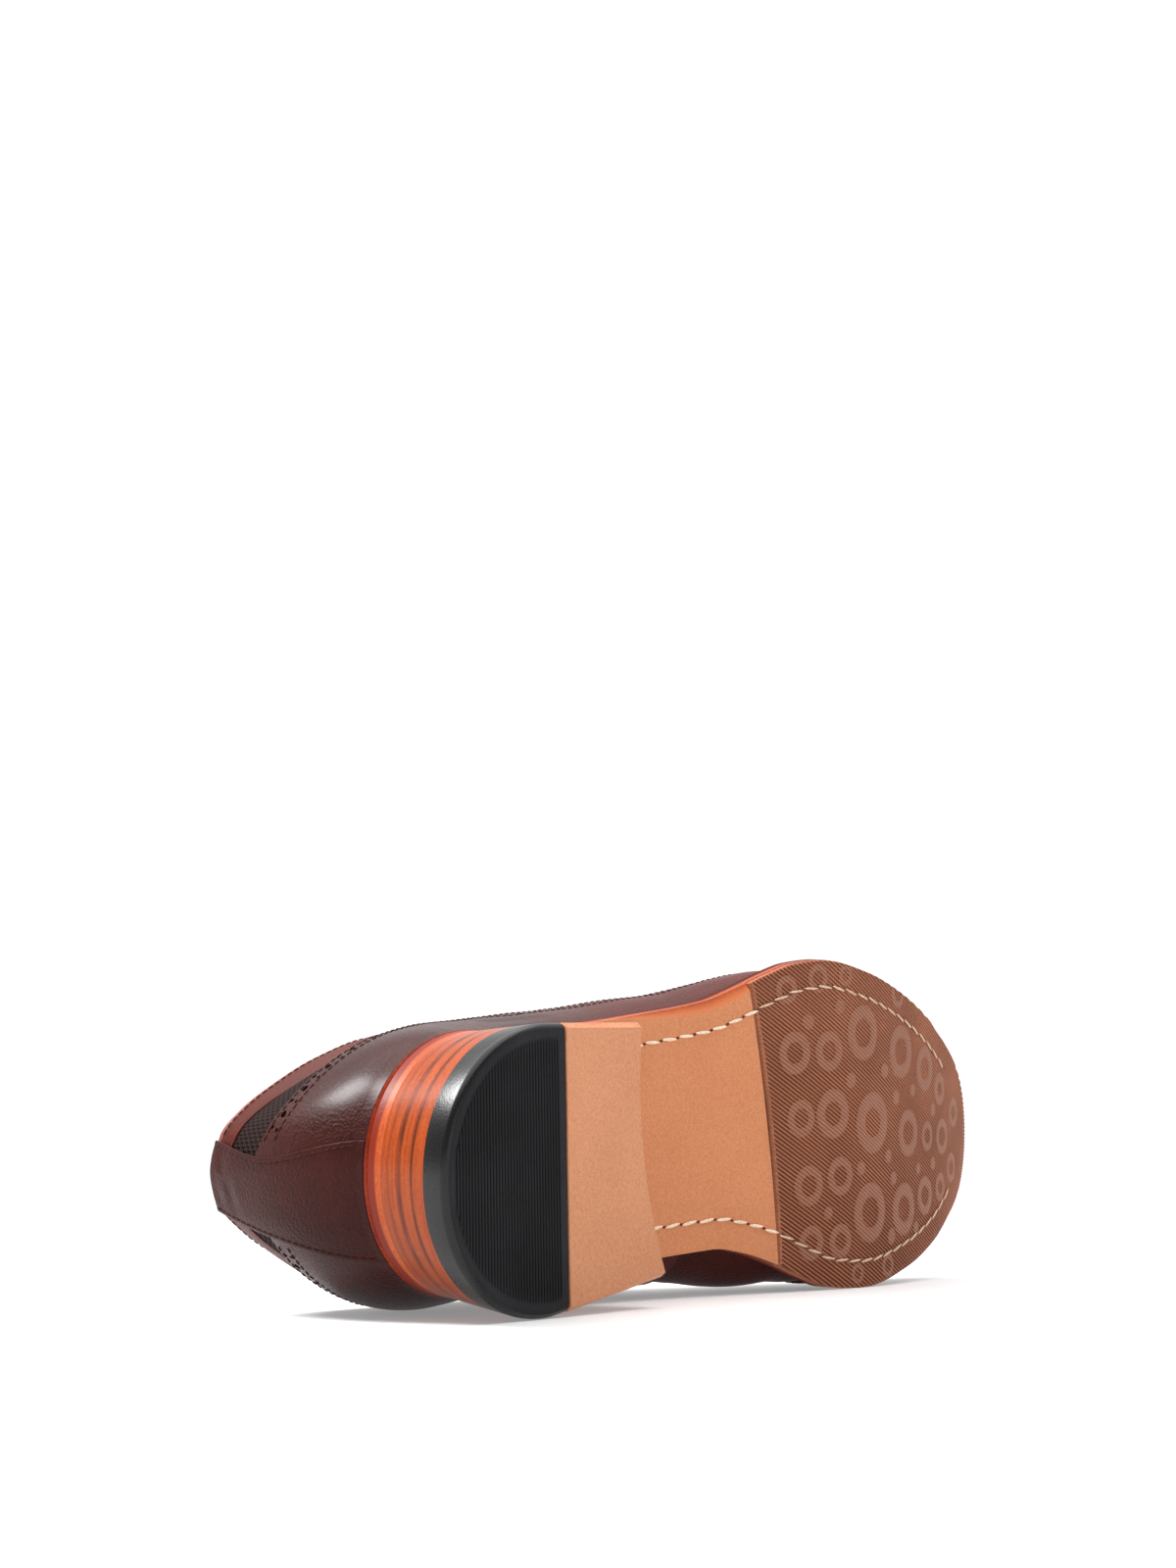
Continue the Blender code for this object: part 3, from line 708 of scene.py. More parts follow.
def wall(side, share, rise):
    """Points on the upper's outer face: share along the edge, rise from the foot to the top line."""
    share, rise = np.broadcast_arrays(np.asarray(share, float), np.asarray(rise, float))
    foot = along_path(share, EDGE_SHARES, FEET[side])
    foot = np.concatenate([foot, seat_height(foot[..., :1]) + GAP], -1)
    top_x = TOP["x"](share)
    top = np.stack([top_x, TOP_MIDDLE(top_x) + side * TOP["half"](share), TOP["z"](share)], -1)
    normal = along_path(share, EDGE_SHARES, OUTWARD[side])
    away = unit((foot - top)[..., :2] + normal * NORMAL_PULL)
    out = np.concatenate([away, np.zeros_like(away[..., :1])], -1)
    low_full, top_full = (full(share) for full in FULL[side])
    low = foot + out * (TOP["foot_out"](share) * low_full)[..., None]
    low[..., 2] += TOP["foot_rise"](share)
    high = top + out * (TOP["top_out"](share) * top_full)[..., None]
    high[..., 2] -= TOP["top_drop"](share) + (high[..., 0] - top[..., 0]) * ON_RIDGE(share)
    return bezier(foot, low, high, top, rise[..., None])


def crease_depth(points):
    """How deep the soft creases press the leather in at points of the upper."""
    depth = np.zeros(points.shape[:-1])
    rim, rim_place, rim_spread = CREASE_RIM
    for side, share_0, rise_0, share_1, rise_1, width, deep in CREASES:
        path = wall(side, *np.linspace((share_0, rise_0), (share_1, rise_1), CREASE_POINTS).T)
        apart = np.linalg.norm(points[..., None, :] - path, axis=-1)
        near = apart.min(axis=-1) / width
        taper = np.sin(math.pi * (apart.argmin(axis=-1) + 1) / (CREASE_POINTS + 1))
        raised = rim * np.exp(-(near - rim_place) ** 2 / rim_spread)
        depth += deep * taper * (np.exp(-near ** 2) - raised)
    return depth


def skin_of(side, share, rise, lift):
    """Points at a height above one side of the upper's outer face, pressed in at the creases."""
    step = 0.004
    low, high = np.maximum(share - step, 0.0), np.minimum(share + step, 1.0)
    under, over = np.maximum(rise - step, 0.0), np.minimum(rise + step, 1.0)
    along = wall(side, high, rise) - wall(side, low, rise)
    upwards = wall(side, share, over) - wall(side, share, under)
    normal = np.cross(along, upwards) * -side
    at_end = (share < step) | (share > 1 - step)
    normal[..., 1] = np.where(at_end, 0.0, normal[..., 1])
    ridge = (rise > 1 - step) & (TOP["half"](share) < 0.01)
    slope = ON_RIDGE(share)
    crest = np.stack([slope, np.zeros_like(slope), np.ones_like(slope)], -1)
    normal = unit(np.where(ridge[..., None], crest, normal))
    points = wall(side, share, rise)
    return points + normal * (lift - crease_depth(points))[..., None], normal


def skin(signed, rise, lift=0.0):
    """Points and normals above the upper: the share is positive outside and negative inside."""
    signed, rise, lift = np.broadcast_arrays(*(np.asarray(v, float) for v in (signed, rise, lift)))
    outer = skin_of(OUTER, np.abs(signed), rise, lift)
    inner = skin_of(INNER, np.abs(signed), rise, lift)
    pick = (signed > 0)[..., None]
    return np.where(pick, outer[0], inner[0]), np.where(pick, outer[1], inner[1])


# Finishes

# Along the laid shoe, in metres: where painted light on the upper's leather sets in ahead of the
# heel and fades out towards the toe, and where painted shade on the sole's edge and welt sets in.
# The part painted lighter loses a share of its coat.
PAINTED_LIGHT_SETS_IN = (-0.085, -0.01)
PAINTED_LIGHT_FADES = (0.015, 0.075)
PAINTED_LIGHT_COAT_CUT = 0.5
EDGE_SHADE_SPAN = (-0.09, -0.03)
WEAVE_PITCH = 1.25


def shade(red, green, blue):
    """A colour from its 8-bit screen values."""
    screen = np.array((red, green, blue)) / 255
    light = np.where(screen > 0.04045, ((screen + 0.055) / 1.055) ** 2.4, screen / 12.92)
    return (*(float(v) for v in light), 1.0)


def scaled(colour, lift):
    """The same colour, brighter or darker."""
    return (*(value * lift for value in colour[:3]), 1.0)


def grey(level):
    return (level, level, level, 1.0)


class Signal:
    """A shader value: arithmetic on it adds Math nodes."""

    def __init__(self, nodes, socket):
        self.nodes, self.socket = nodes, socket

    def maths(self, operation, *others, swapped=False):
        values = (*others, self) if swapped else (self, *others)
        return self.nodes.node("ShaderNodeMath", {"operation": operation}, dict(enumerate(values)))

    def __add__(self, other):
        return self.maths("ADD", other)

    def __sub__(self, other):
        return self.maths("SUBTRACT", other)

    def __rsub__(self, other):
        return self.maths("SUBTRACT", other, swapped=True)

    def __mul__(self, other):
        return self.maths("MULTIPLY", other)

    def __truediv__(self, other):
        return self.maths("DIVIDE", other)

    def __rtruediv__(self, other):
        return self.maths("DIVIDE", other, swapped=True)

    def __mod__(self, other):
        return self.maths("FLOORED_MODULO", other)

    def __rmod__(self, other):
        return self.maths("FLOORED_MODULO", other, swapped=True)

    __radd__ = __add__
    __rmul__ = __mul__

    def between(self, low, high, least=0.0, most=1.0):
        """least at low, most at high, smooth between."""
        span = {"From Min": low, "From Max": high, "To Min": least, "To Max": most}
        return self.nodes.node("ShaderNodeMapRange", {"interpolation_type": "SMOOTHSTEP"},
                               {"Value": self, **span})


class NodeTree:
    """The nodes of a material or a world, and the one method that adds to them."""

    def __init__(self, owner):
        owner.use_nodes = True
        self.tree = owner.node_tree

    def put(self, socket, value):
        if isinstance(value, Signal):
            self.tree.links.new(value.socket, socket)
        else:
            socket.default_value = value

    def node(self, kind, settings, sockets, output=0):
        """A node of any kind: its settings first, then the values or links of its sockets."""
        made = self.tree.nodes.new(kind)
        for key, value in settings.items():
            setattr(made, key, value)
        for key, value in sockets.items():
            self.put(made.inputs[key], value)
        return Signal(self, made.outputs[output])


class Finish(NodeTree):
    """A material on one Principled shader."""

    def __init__(self, name, **fixed):
        self.material = bpy.data.materials.new(name)
        super().__init__(self.material)
        self.shader = self.tree.nodes["Principled BSDF"].inputs
        for key, value in fixed.items():
            self.put(self.shader[key.replace("_", " ")], value)

    def place(self):
        return self.node("ShaderNodeTexCoord", {}, {}, "Object")

    def ahead(self, place, start, stop):
        """0 behind one place along the shoe, 1 ahead of the other."""
        return self.node("ShaderNodeSeparateXYZ", {}, {0: place}, "X").between(start, stop)

    def field(self, name):
        """Values kept on a piece's points."""
        return self.node("ShaderNodeAttribute", {"attribute_name": name}, {}, "Fac")

    def noise(self, place, scale, detail=2.0, rough=0.5):
        """Clouds or specks, so many to a metre."""
        return self.node("ShaderNodeTexNoise", {},
                         {"Vector": place, "Scale": scale, "Detail": detail, "Roughness": rough})

    def cells(self, place, scale):
        return self.node("ShaderNodeTexVoronoi", {}, {"Vector": place, "Scale": scale})

    def joined(self, x, y, z):
        return self.node("ShaderNodeCombineXYZ", {}, {0: x, 1: y, 2: z})

    def blend(self, share, first, second):
        return self.node("ShaderNodeMix", {"data_type": "RGBA"}, {0: share, 6: first, 7: second}, 2)

    def looks(self, colour, roughness, height=None, distance=0.0, strength=1.0, coat=None):
        """The finished material, with its bump and its coat."""
        self.put(self.shader["Base Color"], colour)
        self.put(self.shader["Roughness"], roughness)
        if coat is not None:
            self.put(self.shader["Coat Weight"], coat)
        if height is not None:
            bump = self.node("ShaderNodeBump", {},
                             {"Height": height, "Distance": distance, "Strength": strength})
            self.put(self.shader["Normal"], bump)
        return self.material


def dress_leather(name, deep, light, roughness, coat, lift=1.0):
    """Fine-grained polished leather with cloudy colour, painted lighter between the heel and the toe by
    lift as painted light from above; its coat is thinner there.
    """
    finish = Finish(name, Coat_Roughness=0.26, IOR=1.45, Specular_IOR_Level=0.05)
    place = finish.place()
    pebble = finish.cells(place, 1150)
    pores = finish.noise(place, 3600)
    cloud = finish.noise(place, 34, 3)
    mottle = finish.noise(place, 420)
    tone = (cloud * 0.6 + mottle * 0.4).between(0.2, 0.8)
    # Painted light: between the heel and the toe the colour is lifted, standing in for strong light from
    # above.
    own_tone = finish.blend(tone, deep, light)
    painted_lit = finish.blend(tone, scaled(deep, lift), scaled(light, lift))
    fore = finish.ahead(place, *PAINTED_LIGHT_SETS_IN) * (1 - finish.ahead(place, *PAINTED_LIGHT_FADES))
    colour = finish.blend(fore, own_tone, painted_lit)
    rough = roughness + (mottle - 0.5) * 0.14 + (cloud - 0.5) * 0.08
    return finish.looks(colour, rough, height=pebble * 0.6 + pores * 0.4, distance=0.00036,
                        strength=0.8, coat=coat - fore * coat * PAINTED_LIGHT_COAT_CUT)


def plain_leather(name, deep, light, roughness, grain=900):
    """Unpolished leather: lining, sock and binding."""
    finish = Finish(name, IOR=1.42)
    place = finish.place()
    pores = finish.noise(place, grain, 3)
    cloud = finish.noise(place, 60)
    colour = finish.blend((cloud * 0.6 + pores * 0.4).between(0.3, 0.7), deep, light)
    return finish.looks(colour, roughness + (pores - 0.5) * 0.12, height=pores, distance=0.0002,
                        strength=0.6)


def nap_leather(name, deep, light):
    """Buffed tan sole leather with a short nap and scattered flecks."""
    finish = Finish(name, IOR=1.4, Specular_IOR_Level=0.2)
    place = finish.place()
    fibre = finish.noise(place, 2000, 3, 0.6)
    fleck = finish.noise(place, 1000)
    cloud = finish.noise(place, 45, 3)
    tone = (fibre * 0.5 + fleck * 0.32 + cloud * 0.18).between(0.3, 0.7)
    colour = finish.blend(tone, deep, light)
    return finish.looks(colour, 0.78 + (fibre - 0.5) * 0.2, height=fibre * 0.6 + fleck * 0.4,
                        distance=0.00025, strength=0.7)


def stack_finish():
    """Polished stacked leather: streaks round the heel, and dark smears beside the lifts' lines."""
    finish = Finish("stack_leather", Coat_Roughness=0.2, IOR=1.48, Specular_IOR_Level=0.1)
    place = finish.place()
    run, level = finish.field("run"), finish.field("level")
    streak = finish.noise(finish.joined(run * 0.05, level * 1.3, 0.0), 1.0, 3)
    smear = finish.noise(finish.joined(run * 0.06, level * 0.12, 4.0), 1.0)
    speck = finish.noise(place, 1300)
    tone = (streak * 0.5 + speck * 0.3 + smear * 0.2).between(0.3, 0.68)
    colour = finish.blend(tone, shade(124, 45, 9), shade(154, 68, 24))
    burnt = 0.0
    for line, half, strength in STACK_LINES:
        apart = (level - line).maths("ABSOLUTE")
        dark = 1 - (apart + (streak - 0.5) * 0.6).between(half * 0.1, half)
        burnt = burnt + dark * strength
    colour = finish.blend(burnt * (0.5 + smear.between(0.38, 0.62) * 0.5), colour, shade(66, 22, 8))
    return finish.looks(colour, 0.32 + (speck - 0.5) * 0.12, height=speck, distance=0.00006,
                        strength=0.4, coat=0.1)


def edge_finish(name, deep, light, band=None, painted_shade_ahead=None):
    """Burnished edge of the sole, with a dyed band beside the welt; ahead of the heel the band takes
    painted shade, darker and browner, and an edge with no band takes it all over.
    """
    finish = Finish(name, Coat_Roughness=0.25, IOR=1.46, Specular_IOR_Level=0.12)
    place = finish.place()
    speck = finish.noise(place, 900, 3)
    cloud = finish.noise(place, 70)
    colour = finish.blend((speck * 0.5 + cloud * 0.5).between(0.32, 0.68), deep, light)
    if painted_shade_ahead:
        # Painted shade: ahead of the heel, under the light from above, the colour turns darker and
        # browner.
        dyed_and_shaded = finish.blend(finish.ahead(place, *EDGE_SHADE_SPAN), band or colour, painted_shade_ahead)
        if band:
            ragged = finish.field("depth") + (cloud - 0.5) * 0.08
            colour = finish.blend(ragged.between(0.0, 0.55), shade(190, 108, 66), colour)
            dyed_and_shaded = finish.blend(ragged.between(0.66, 0.76), colour, dyed_and_shaded)
        colour = dyed_and_shaded
    return finish.looks(colour, 0.42 + (speck - 0.5) * 0.12, height=speck, distance=0.0001,
                        strength=0.5, coat=0.06)


def rubber_finish(name, deep, light, roughness, groove=None, shine=0.4):
    """Moulded rubber, painted darker in its grooves as painted shade."""
    finish = Finish(name, IOR=1.5, Specular_IOR_Level=shine)
    place = finish.place()
    speck = finish.noise(place, 1700)
    cloud = finish.noise(place, 50)
    colour = finish.blend((speck * 0.4 + cloud * 0.6).between(0.3, 0.7), deep, light)
    if groove:
        colour = finish.blend(finish.field("groove"), colour, groove)
    return finish.looks(colour, roughness + (speck - 0.5) * 0.1, height=speck, distance=0.00008,
                        strength=0.4)


def ring_finish():
    """Paler tread rubber whose shallow ribs go on from the field around it, painted darker in their
    grooves as painted shade.
    """
    finish = Finish("tread_ring_brown", IOR=1.5, Specular_IOR_Level=0.25)
    speck = finish.noise(finish.place(), 1700)
    stripe = (finish.field("rib") * (2 * math.pi)).maths("COSINE")
    groove = (0.5 - stripe * 0.5).between(0.35, 0.9)
    pale = finish.blend(speck, shade(142, 92, 70), shade(157, 107, 84))
    # Painted shade in the ribs' grooves.
    colour = finish.blend(groove * 0.9, pale, shade(106, 60, 41))
    return finish.looks(colour, 0.58, height=1 - groove, distance=0.0002, strength=0.6)


def woven_finish():
    """Coarse dark weave under the collar, painted darker between its threads as painted shade."""
    finish = Finish("collar_weave", Specular_IOR_Level=0.08)
    across, up = (finish.field(name) / WEAVE_PITCH for name in ("run", "up"))
    warp, weft = (thread.maths("PINGPONG", 0.5) * 2 for thread in (across, up))
    turn = (across.maths("FLOOR") + up.maths("FLOOR")) % 2
    height = warp * turn + weft * (1 - turn)
    fibre = finish.noise(finish.place(), 3500)
    # Painted shade: the colour follows the weave's height, darker between the threads.
    tone = (height * 0.7 + fibre * 0.3).between(0.2, 0.9)
    colour = finish.blend(tone, shade(11, 6, 5), shade(48, 30, 27))
    return finish.looks(colour, 0.82, height=height, distance=0.0005, strength=0.9)


def thread_finish(name, deep, light, shine=0.5):
    """Twisted thread."""
    finish = Finish(name, IOR=1.4, Specular_IOR_Level=shine)
    fibre = finish.noise(finish.place(), 2400)
    colour = finish.blend(fibre.between(0.3, 0.7), deep, light)
    return finish.looks(colour, 0.75, height=fibre, distance=0.0002, strength=0.6)


def cord_finish():
    """Waxed braided lace, painted darker between its strands as painted shade."""
    finish = Finish("lace_braid", IOR=1.42)
    around, run = finish.field("around") * 4, finish.field("run") * 1.6
    left, right = ((turn * math.pi).maths("SINE") for turn in (around + run, around - run))
    braid = (left * right) * 0.5 + 0.5
    # Painted shade: the colour follows the braid's relief, darker between the strands.
    colour = finish.blend(braid, shade(30, 16, 14), shade(72, 42, 36))
    return finish.looks(colour, 0.55, height=braid, distance=0.0003, strength=0.7)


def bare_finish(name, colour, roughness, shine=0.0):
    """Small marks with a little speckle: painted shade for holes, and enamel for the eyelets."""
    finish = Finish(name, Specular_IOR_Level=shine)
    speck = finish.noise(finish.place(), 1200)
    return finish.looks(finish.blend(speck.between(0.35, 0.65), scaled(colour, 0.7), colour), roughness)


# The sixth number is how much lighter each leather is painted between the heel and the toe: painted light
# from above.
UPPER_LEATHER = dress_leather("quarter_leather", shade(36, 10, 8), shade(58, 20, 15), 0.34, 0.16, 1.5)
OVERLAY_LEATHER = dress_leather("overlay_leather", shade(36, 10, 8), shade(58, 20, 15), 0.32, 0.18, 2.2)
STRIP_LEATHER = dress_leather("strip_leather", shade(36, 10, 8), shade(58, 20, 15), 0.38, 0.09)
COLLAR_LEATHER = dress_leather("collar_leather", shade(54, 16, 10), shade(82, 30, 20), 0.46, 0.03)
LINING = plain_leather("lining_leather", shade(150, 92, 62), shade(182, 122, 86), 0.62)
BINDING = plain_leather("binding_leather", shade(92, 36, 24), shade(128, 62, 44), 0.45, 1400)
SOCK = plain_leather("sock_leather", shade(150, 96, 62), shade(186, 128, 90), 0.66)
WEAVE = woven_finish()
SOLE_LEATHER = nap_leather("sole_nap_leather", shade(186, 118, 80), shade(204, 138, 98))
HEEL_LEATHER = nap_leather("heel_nap_leather", shade(180, 120, 86), shade(199, 141, 106))
# The sole edge's last colour is painted shade on its band ahead of the heel.
SOLE_EDGE = edge_finish("sole_edge", shade(148, 60, 23), shade(176, 82, 41),
                        band=shade(112, 32, 14), painted_shade_ahead=shade(118, 48, 24))
HEEL_EDGE = edge_finish("heel_edge", shade(186, 118, 80), shade(208, 146, 108))
TREAD_EDGE = edge_finish("tread_edge", shade(140, 66, 38), shade(172, 92, 60))
# The welt's last colour is painted shade ahead of the heel.
WELT_EDGE = edge_finish("welt_edge", shade(112, 32, 14), shade(150, 54, 28), painted_shade_ahead=shade(100, 38, 20))
STACK = stack_finish()
# The last colours of the ribbed rubbers are painted shade for their grooves.
BLACK_RUBBER = rubber_finish("heel_rubber_black", shade(24, 23, 26), shade(36, 35, 38), 0.5,
                             groove=shade(1, 1, 1), shine=0.1)
RIM_RUBBER = rubber_finish("heel_rubber_rim", shade(8, 7, 7), shade(14, 12, 11), 0.28, shine=0.28)
TREAD_RUBBER = rubber_finish("tread_brown", shade(142, 86, 60), shade(164, 102, 73), 0.62,
                             groove=shade(84, 42, 23), shine=0.2)
RING_RUBBER = ring_finish()
CREAM_THREAD = thread_finish("cream_thread", shade(206, 176, 146), shade(246, 232, 212))
# A darker copy of the cream thread for the stitches on the tread: painted shade of the channel they lie
# in.
SHADED_TREAD_THREAD = thread_finish("shaded_tread_thread", shade(176, 138, 112), shade(222, 192, 166))
DARK_THREAD = thread_finish("brown_thread", shade(36, 14, 11), shade(64, 30, 25), 0.12)
# Dark discs in place of the pierced holes: the upper's dark leather beneath, darkened further with painted
# shade.
PIERCED_SHADE = bare_finish("pierced_hole_shade", shade(14, 7, 6), 0.9)
# Needle holes between the waist's stitches, painted darker than the sole: painted shade in the holes.
NEEDLE_HOLE_SHADE = bare_finish("needle_hole_shade", shade(122, 60, 40), 0.85)
EYELET = bare_finish("eyelet_enamel", shade(52, 28, 24), 0.3, 0.5)
LACE = cord_finish()


# Pieces

def laid(points):
    """Shoe points in millimetres, laid down, in metres."""
    return np.asarray(points) * MM @ LAID_TURN.T + LAID_SHIFT


def placed(name, data):
    """A new object in the scene."""
    made = bpy.data.objects.new(name, data)
    bpy.context.scene.collection.objects.link(made)
    return made


def finished(name, bm, finishes, nodes=(), crisp=True):
    """A bmesh as a named piece of the shoe, standing for these solids."""
    mesh = bpy.data.meshes.new(name)
    bm.to_mesh(mesh)
    bm.free()
    for finish in finishes:
        mesh.materials.append(finish)
    mesh.shade_smooth()
    if crisp:
        mesh.set_sharp_from_angle(angle=CRISP)
    made = placed(name, mesh)
    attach(made, "root")
    if nodes:
        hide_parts(*nodes)
    return made


def grid(rows, columns):
    """A flat bmesh grid and its two parameters from 0 to 1."""
    bm = bmesh.new()
    bmesh.ops.create_grid(bm, x_segments=rows, y_segments=columns, size=0.5)
    flat = np.array([vert.co for vert in bm.verts]) + 0.5
    return bm, flat[:, 0], flat[:, 1]


def row_of(share, rows):
    """Whole row or column of a grid that a parameter from 0 to 1 falls on."""
    return np.rint(share * rows).astype(int)


def at_border(share):
    return (share == 0) | (share == 1)


def moved(bm, points):
    """Put a bmesh's points at these places."""
    for vert, point in zip(bm.verts, points):
        vert.co = point


def shaped(bm, points, fields):
    """Lay a bmesh's points where they belong on the shoe, and keep values on them."""
    moved(bm, laid(points))
    for key, values in fields.items():
        layer = bm.verts.layers.float.new(key)
        for vert, value in zip(bm.verts, values):
            vert[layer] = value
    bmesh.ops.remove_doubles(bm, verts=bm.verts, dist=MERGE * MM)
    bm.normal_update()


def walled(piece, thick, outwards, bevel=0.0):
    """Give an open sheet its thickness, and rounded borders."""
    solid = piece.modifiers.new("wall", "SOLIDIFY")
    solid.thickness = thick * MM
    solid.offset = 1.0 if outwards else -1.0
    if bevel:
        rounded(piece, bevel)
    return solid


def rounded(piece, width):
    """Round a piece's sharp edges."""
    edge = piece.modifiers.new("edge", "BEVEL")
    edge.width = width * MM
    edge.segments = 2
    edge.limit_method = "ANGLE"
    edge.angle_limit = ROUNDED_FROM
    edge.harden_normals = True


def sheet(name, finishes, place, rows, columns, nodes=()):
    """An open piece laid on a surface. place gives points, and any values to keep."""
    bm, along, across = grid(rows, columns)
    points, fields = place(along, across)
    shaped(bm, points, fields)
    return finished(name, bm, finishes, nodes)


def slab(name, finishes, levels, columns, bow=0.0, nodes=()):
    """A solid over a stretch of sole: a grid on the lowest level, extruded through the others.

    Each level is the outer edge, the inner edge and the height as a function of x and row. The
    sides take the second finish. bow hollows the last row.
    """
    rows = len(levels[0][0]) - 1
    bm = grid(rows, columns)[0]
    bmesh.ops.translate(bm, verts=bm.verts, vec=(0.5, 0.5, 0.0))
    top = bm.faces[:]
    for number in range(1, len(levels)):
        extruded = bmesh.ops.extrude_face_region(bm, geom=top)["geom"]
        if number > 1:
            bmesh.ops.delete(bm, geom=top, context="FACES_ONLY")
        top = [part for part in extruded if isinstance(part, bmesh.types.BMFace)]
        raised = [part for part in extruded if isinstance(part, bmesh.types.BMVert)]
        bmesh.ops.translate(bm, verts=raised, vec=(0.0, 0.0, 1.0))
    flat = np.array([vert.co for vert in bm.verts])
    row, across, level = row_of(flat[:, 0], rows), flat[:, 1], row_of(flat[:, 2], 1)
    outer, inner = (np.stack([entry[k] for entry in levels]) for k in (0, 1))
    spot = outer[level, row] * (1 - across[:, None]) + inner[level, row] * across[:, None]
    spot[:, 0] += bow * (row / rows) ** BOW_POWER * bowed(across)
    height = np.zeros(len(flat))
    for number, entry in enumerate(levels):
        here = level == number
        height[here] = entry[2](spot[here, 0], row[here])
    spot[:, 0] += tread_bow(spot[:, 0], across)
    points = np.column_stack([spot, height])
    angle = np.arctan2(spot[:, 1], HEEL_DEPTH - spot[:, 0])
    fields = {"level": height, "run": angle * HEEL_HALF, "depth": level / (len(levels) - 1)}
    moved(bm, points)
    bmesh.ops.recalc_face_normals(bm, faces=bm.faces)
    if len(finishes) > 1:
        for face in bm.faces:
            face.material_index = int(abs(face.normal.z) < SIDE_SLOPE)
    shaped(bm, points, fields)
    return finished(name, bm, finishes, nodes)


def copies(name, finish, shape, frames):
    """Many copies of one small bmesh, each at a place with three axes, joined in one piece."""
    stamp = bpy.data.meshes.new("stamp")
    shape.to_mesh(stamp)
    shape.free()
    corners = np.array([vert.co for vert in stamp.vertices])
    bm = bmesh.new()
    for _ in frames:
        bm.from_mesh(stamp)
    bpy.data.meshes.remove(stamp)
    moved(bm, laid(np.vstack([corners @ np.asarray(axes) + spot for spot, axes in frames])))
    return finished(name, bm, (finish,), crisp=False)


def bead():
    """A stitch: a rounded grain of unit half length."""
    bm = bmesh.new()
    bmesh.ops.create_uvsphere(bm, u_segments=8, v_segments=6, radius=1.0)
    lying = Matrix.Rotation(math.pi / 2, 3, "Y")
    bmesh.ops.rotate(bm, verts=bm.verts, cent=(0, 0, 0), matrix=lying)
    return bm


def dish():
    """A pierced hole: a disc of unit radius with a low lip, in place of a real hole; its dark finish is
    the dark leather beneath with painted shade.
    """
    bm = bmesh.new()
    bmesh.ops.create_circle(bm, cap_ends=True, segments=14, radius=1.0)
    bmesh.ops.inset_region(bm, faces=bm.faces[:], thickness=0.22, depth=0.0)
    lip = [vert for vert in bm.verts if vert.co.length < 0.9]
    bmesh.ops.translate(bm, verts=lip, vec=(0, 0, 0.05))
    return bm


def eyelet():
    """An eyelet's rim, turned from its profile."""
    bm = bmesh.new()
    line = [bm.verts.new((radius, 0.0, height)) for radius, height in EYELET_PROFILE]
    edges = [bm.edges.new(pair) for pair in zip(line[:-1], line[1:])]
    bmesh.ops.spin(bm, geom=line + edges, cent=(0, 0, 0), axis=(0, 0, 1), angle=2 * math.pi,
                   steps=20, use_merge=True)
    bmesh.ops.remove_doubles(bm, verts=bm.verts, dist=0.001)
    bmesh.ops.recalc_face_normals(bm, faces=bm.faces)
    return bm


def stitch_frames(points, normals, pitch, size, slant=0.0, start=0.0):
    """Frames for a row of stitches along a path: size is half length, half width and height."""
    run = run_of(points)
    half, wide, high = size
    frames = []
    for at in np.arange(start + pitch / 2, run[-1] - pitch / 3, pitch):
        spot, ahead, behind = (along_path(at + step, run, points) for step in (0.0, NEARBY, -NEARBY))
        normal = unit(along_path(at, run, normals))
        along = unit(ahead - behind)
        turned = along * math.cos(slant) + np.cross(normal, along) * math.sin(slant)
        frames.append((spot, (turned * half, np.cross(normal, turned) * wide, normal * high)))
    return frames


# Sole and heel

def above(face, rise):
    """A slab's level that follows a face of the sole."""
    return lambda x, row: face(x) + rise


def make_outsole():
    rear = [edge_between(side, 0, tread_line(side), 0.0, SOLE_ROWS // 2) for side in SIDES]
    fore = [edge_between(side, tread_line(side) + TREAD_STEP, LENGTH, 0.0, SOLE_ROWS // 2)
            for side in SIDES]
    outer, inner = (np.vstack(pair) for pair in zip(rear, fore))
    step_row = len(rear[0])

    def waist(x):
        return eased(x, *WAIST_START) * (1 - eased(x, *WAIST_STOP))

    def recessed(x, row):
        return underside(x) + np.where(row >= step_row, TREAD_THICK + GAP, 0.0)

    def bevelled(x, row):
        return recessed(x, row) + np.where(row >= step_row, LAP / 2, LAP + waist(x) * WAIST_RISE)

    shaved = outer + np.column_stack([np.zeros(len(outer)), waist(outer[:, 0]) * WAIST_BEVEL])
    sole = slab("outsole_leather", (SOLE_LEATHER, SOLE_EDGE),
                [(shaved, inner, recessed), (outer, inner, bevelled),
                 (outer, inner, above(underside, OUTSOLE_THICK + LAP))], 8, nodes=("outsole",))
    rounded(sole, SOLE_ROUND)
    sole.data.set_sharp_from_angle(angle=WAIST_CRISP)


def make_insole():
    inset = FEATHER_INSET(EDGE_SHARES) + WALL + INSOLE_EASE
    edges = [resampled(inset_curve(EDGES[side], side, inset), SOLE_ROWS) for side in SIDES]
    sock = slab("insole_sock", (SOCK,),
                [(*edges, above(seat_height, GAP)), (*edges, above(seat_height, GAP + INSOLE_THICK))],
                4, nodes=("insole",))
    rounded(sock, SOCK_ROUND)


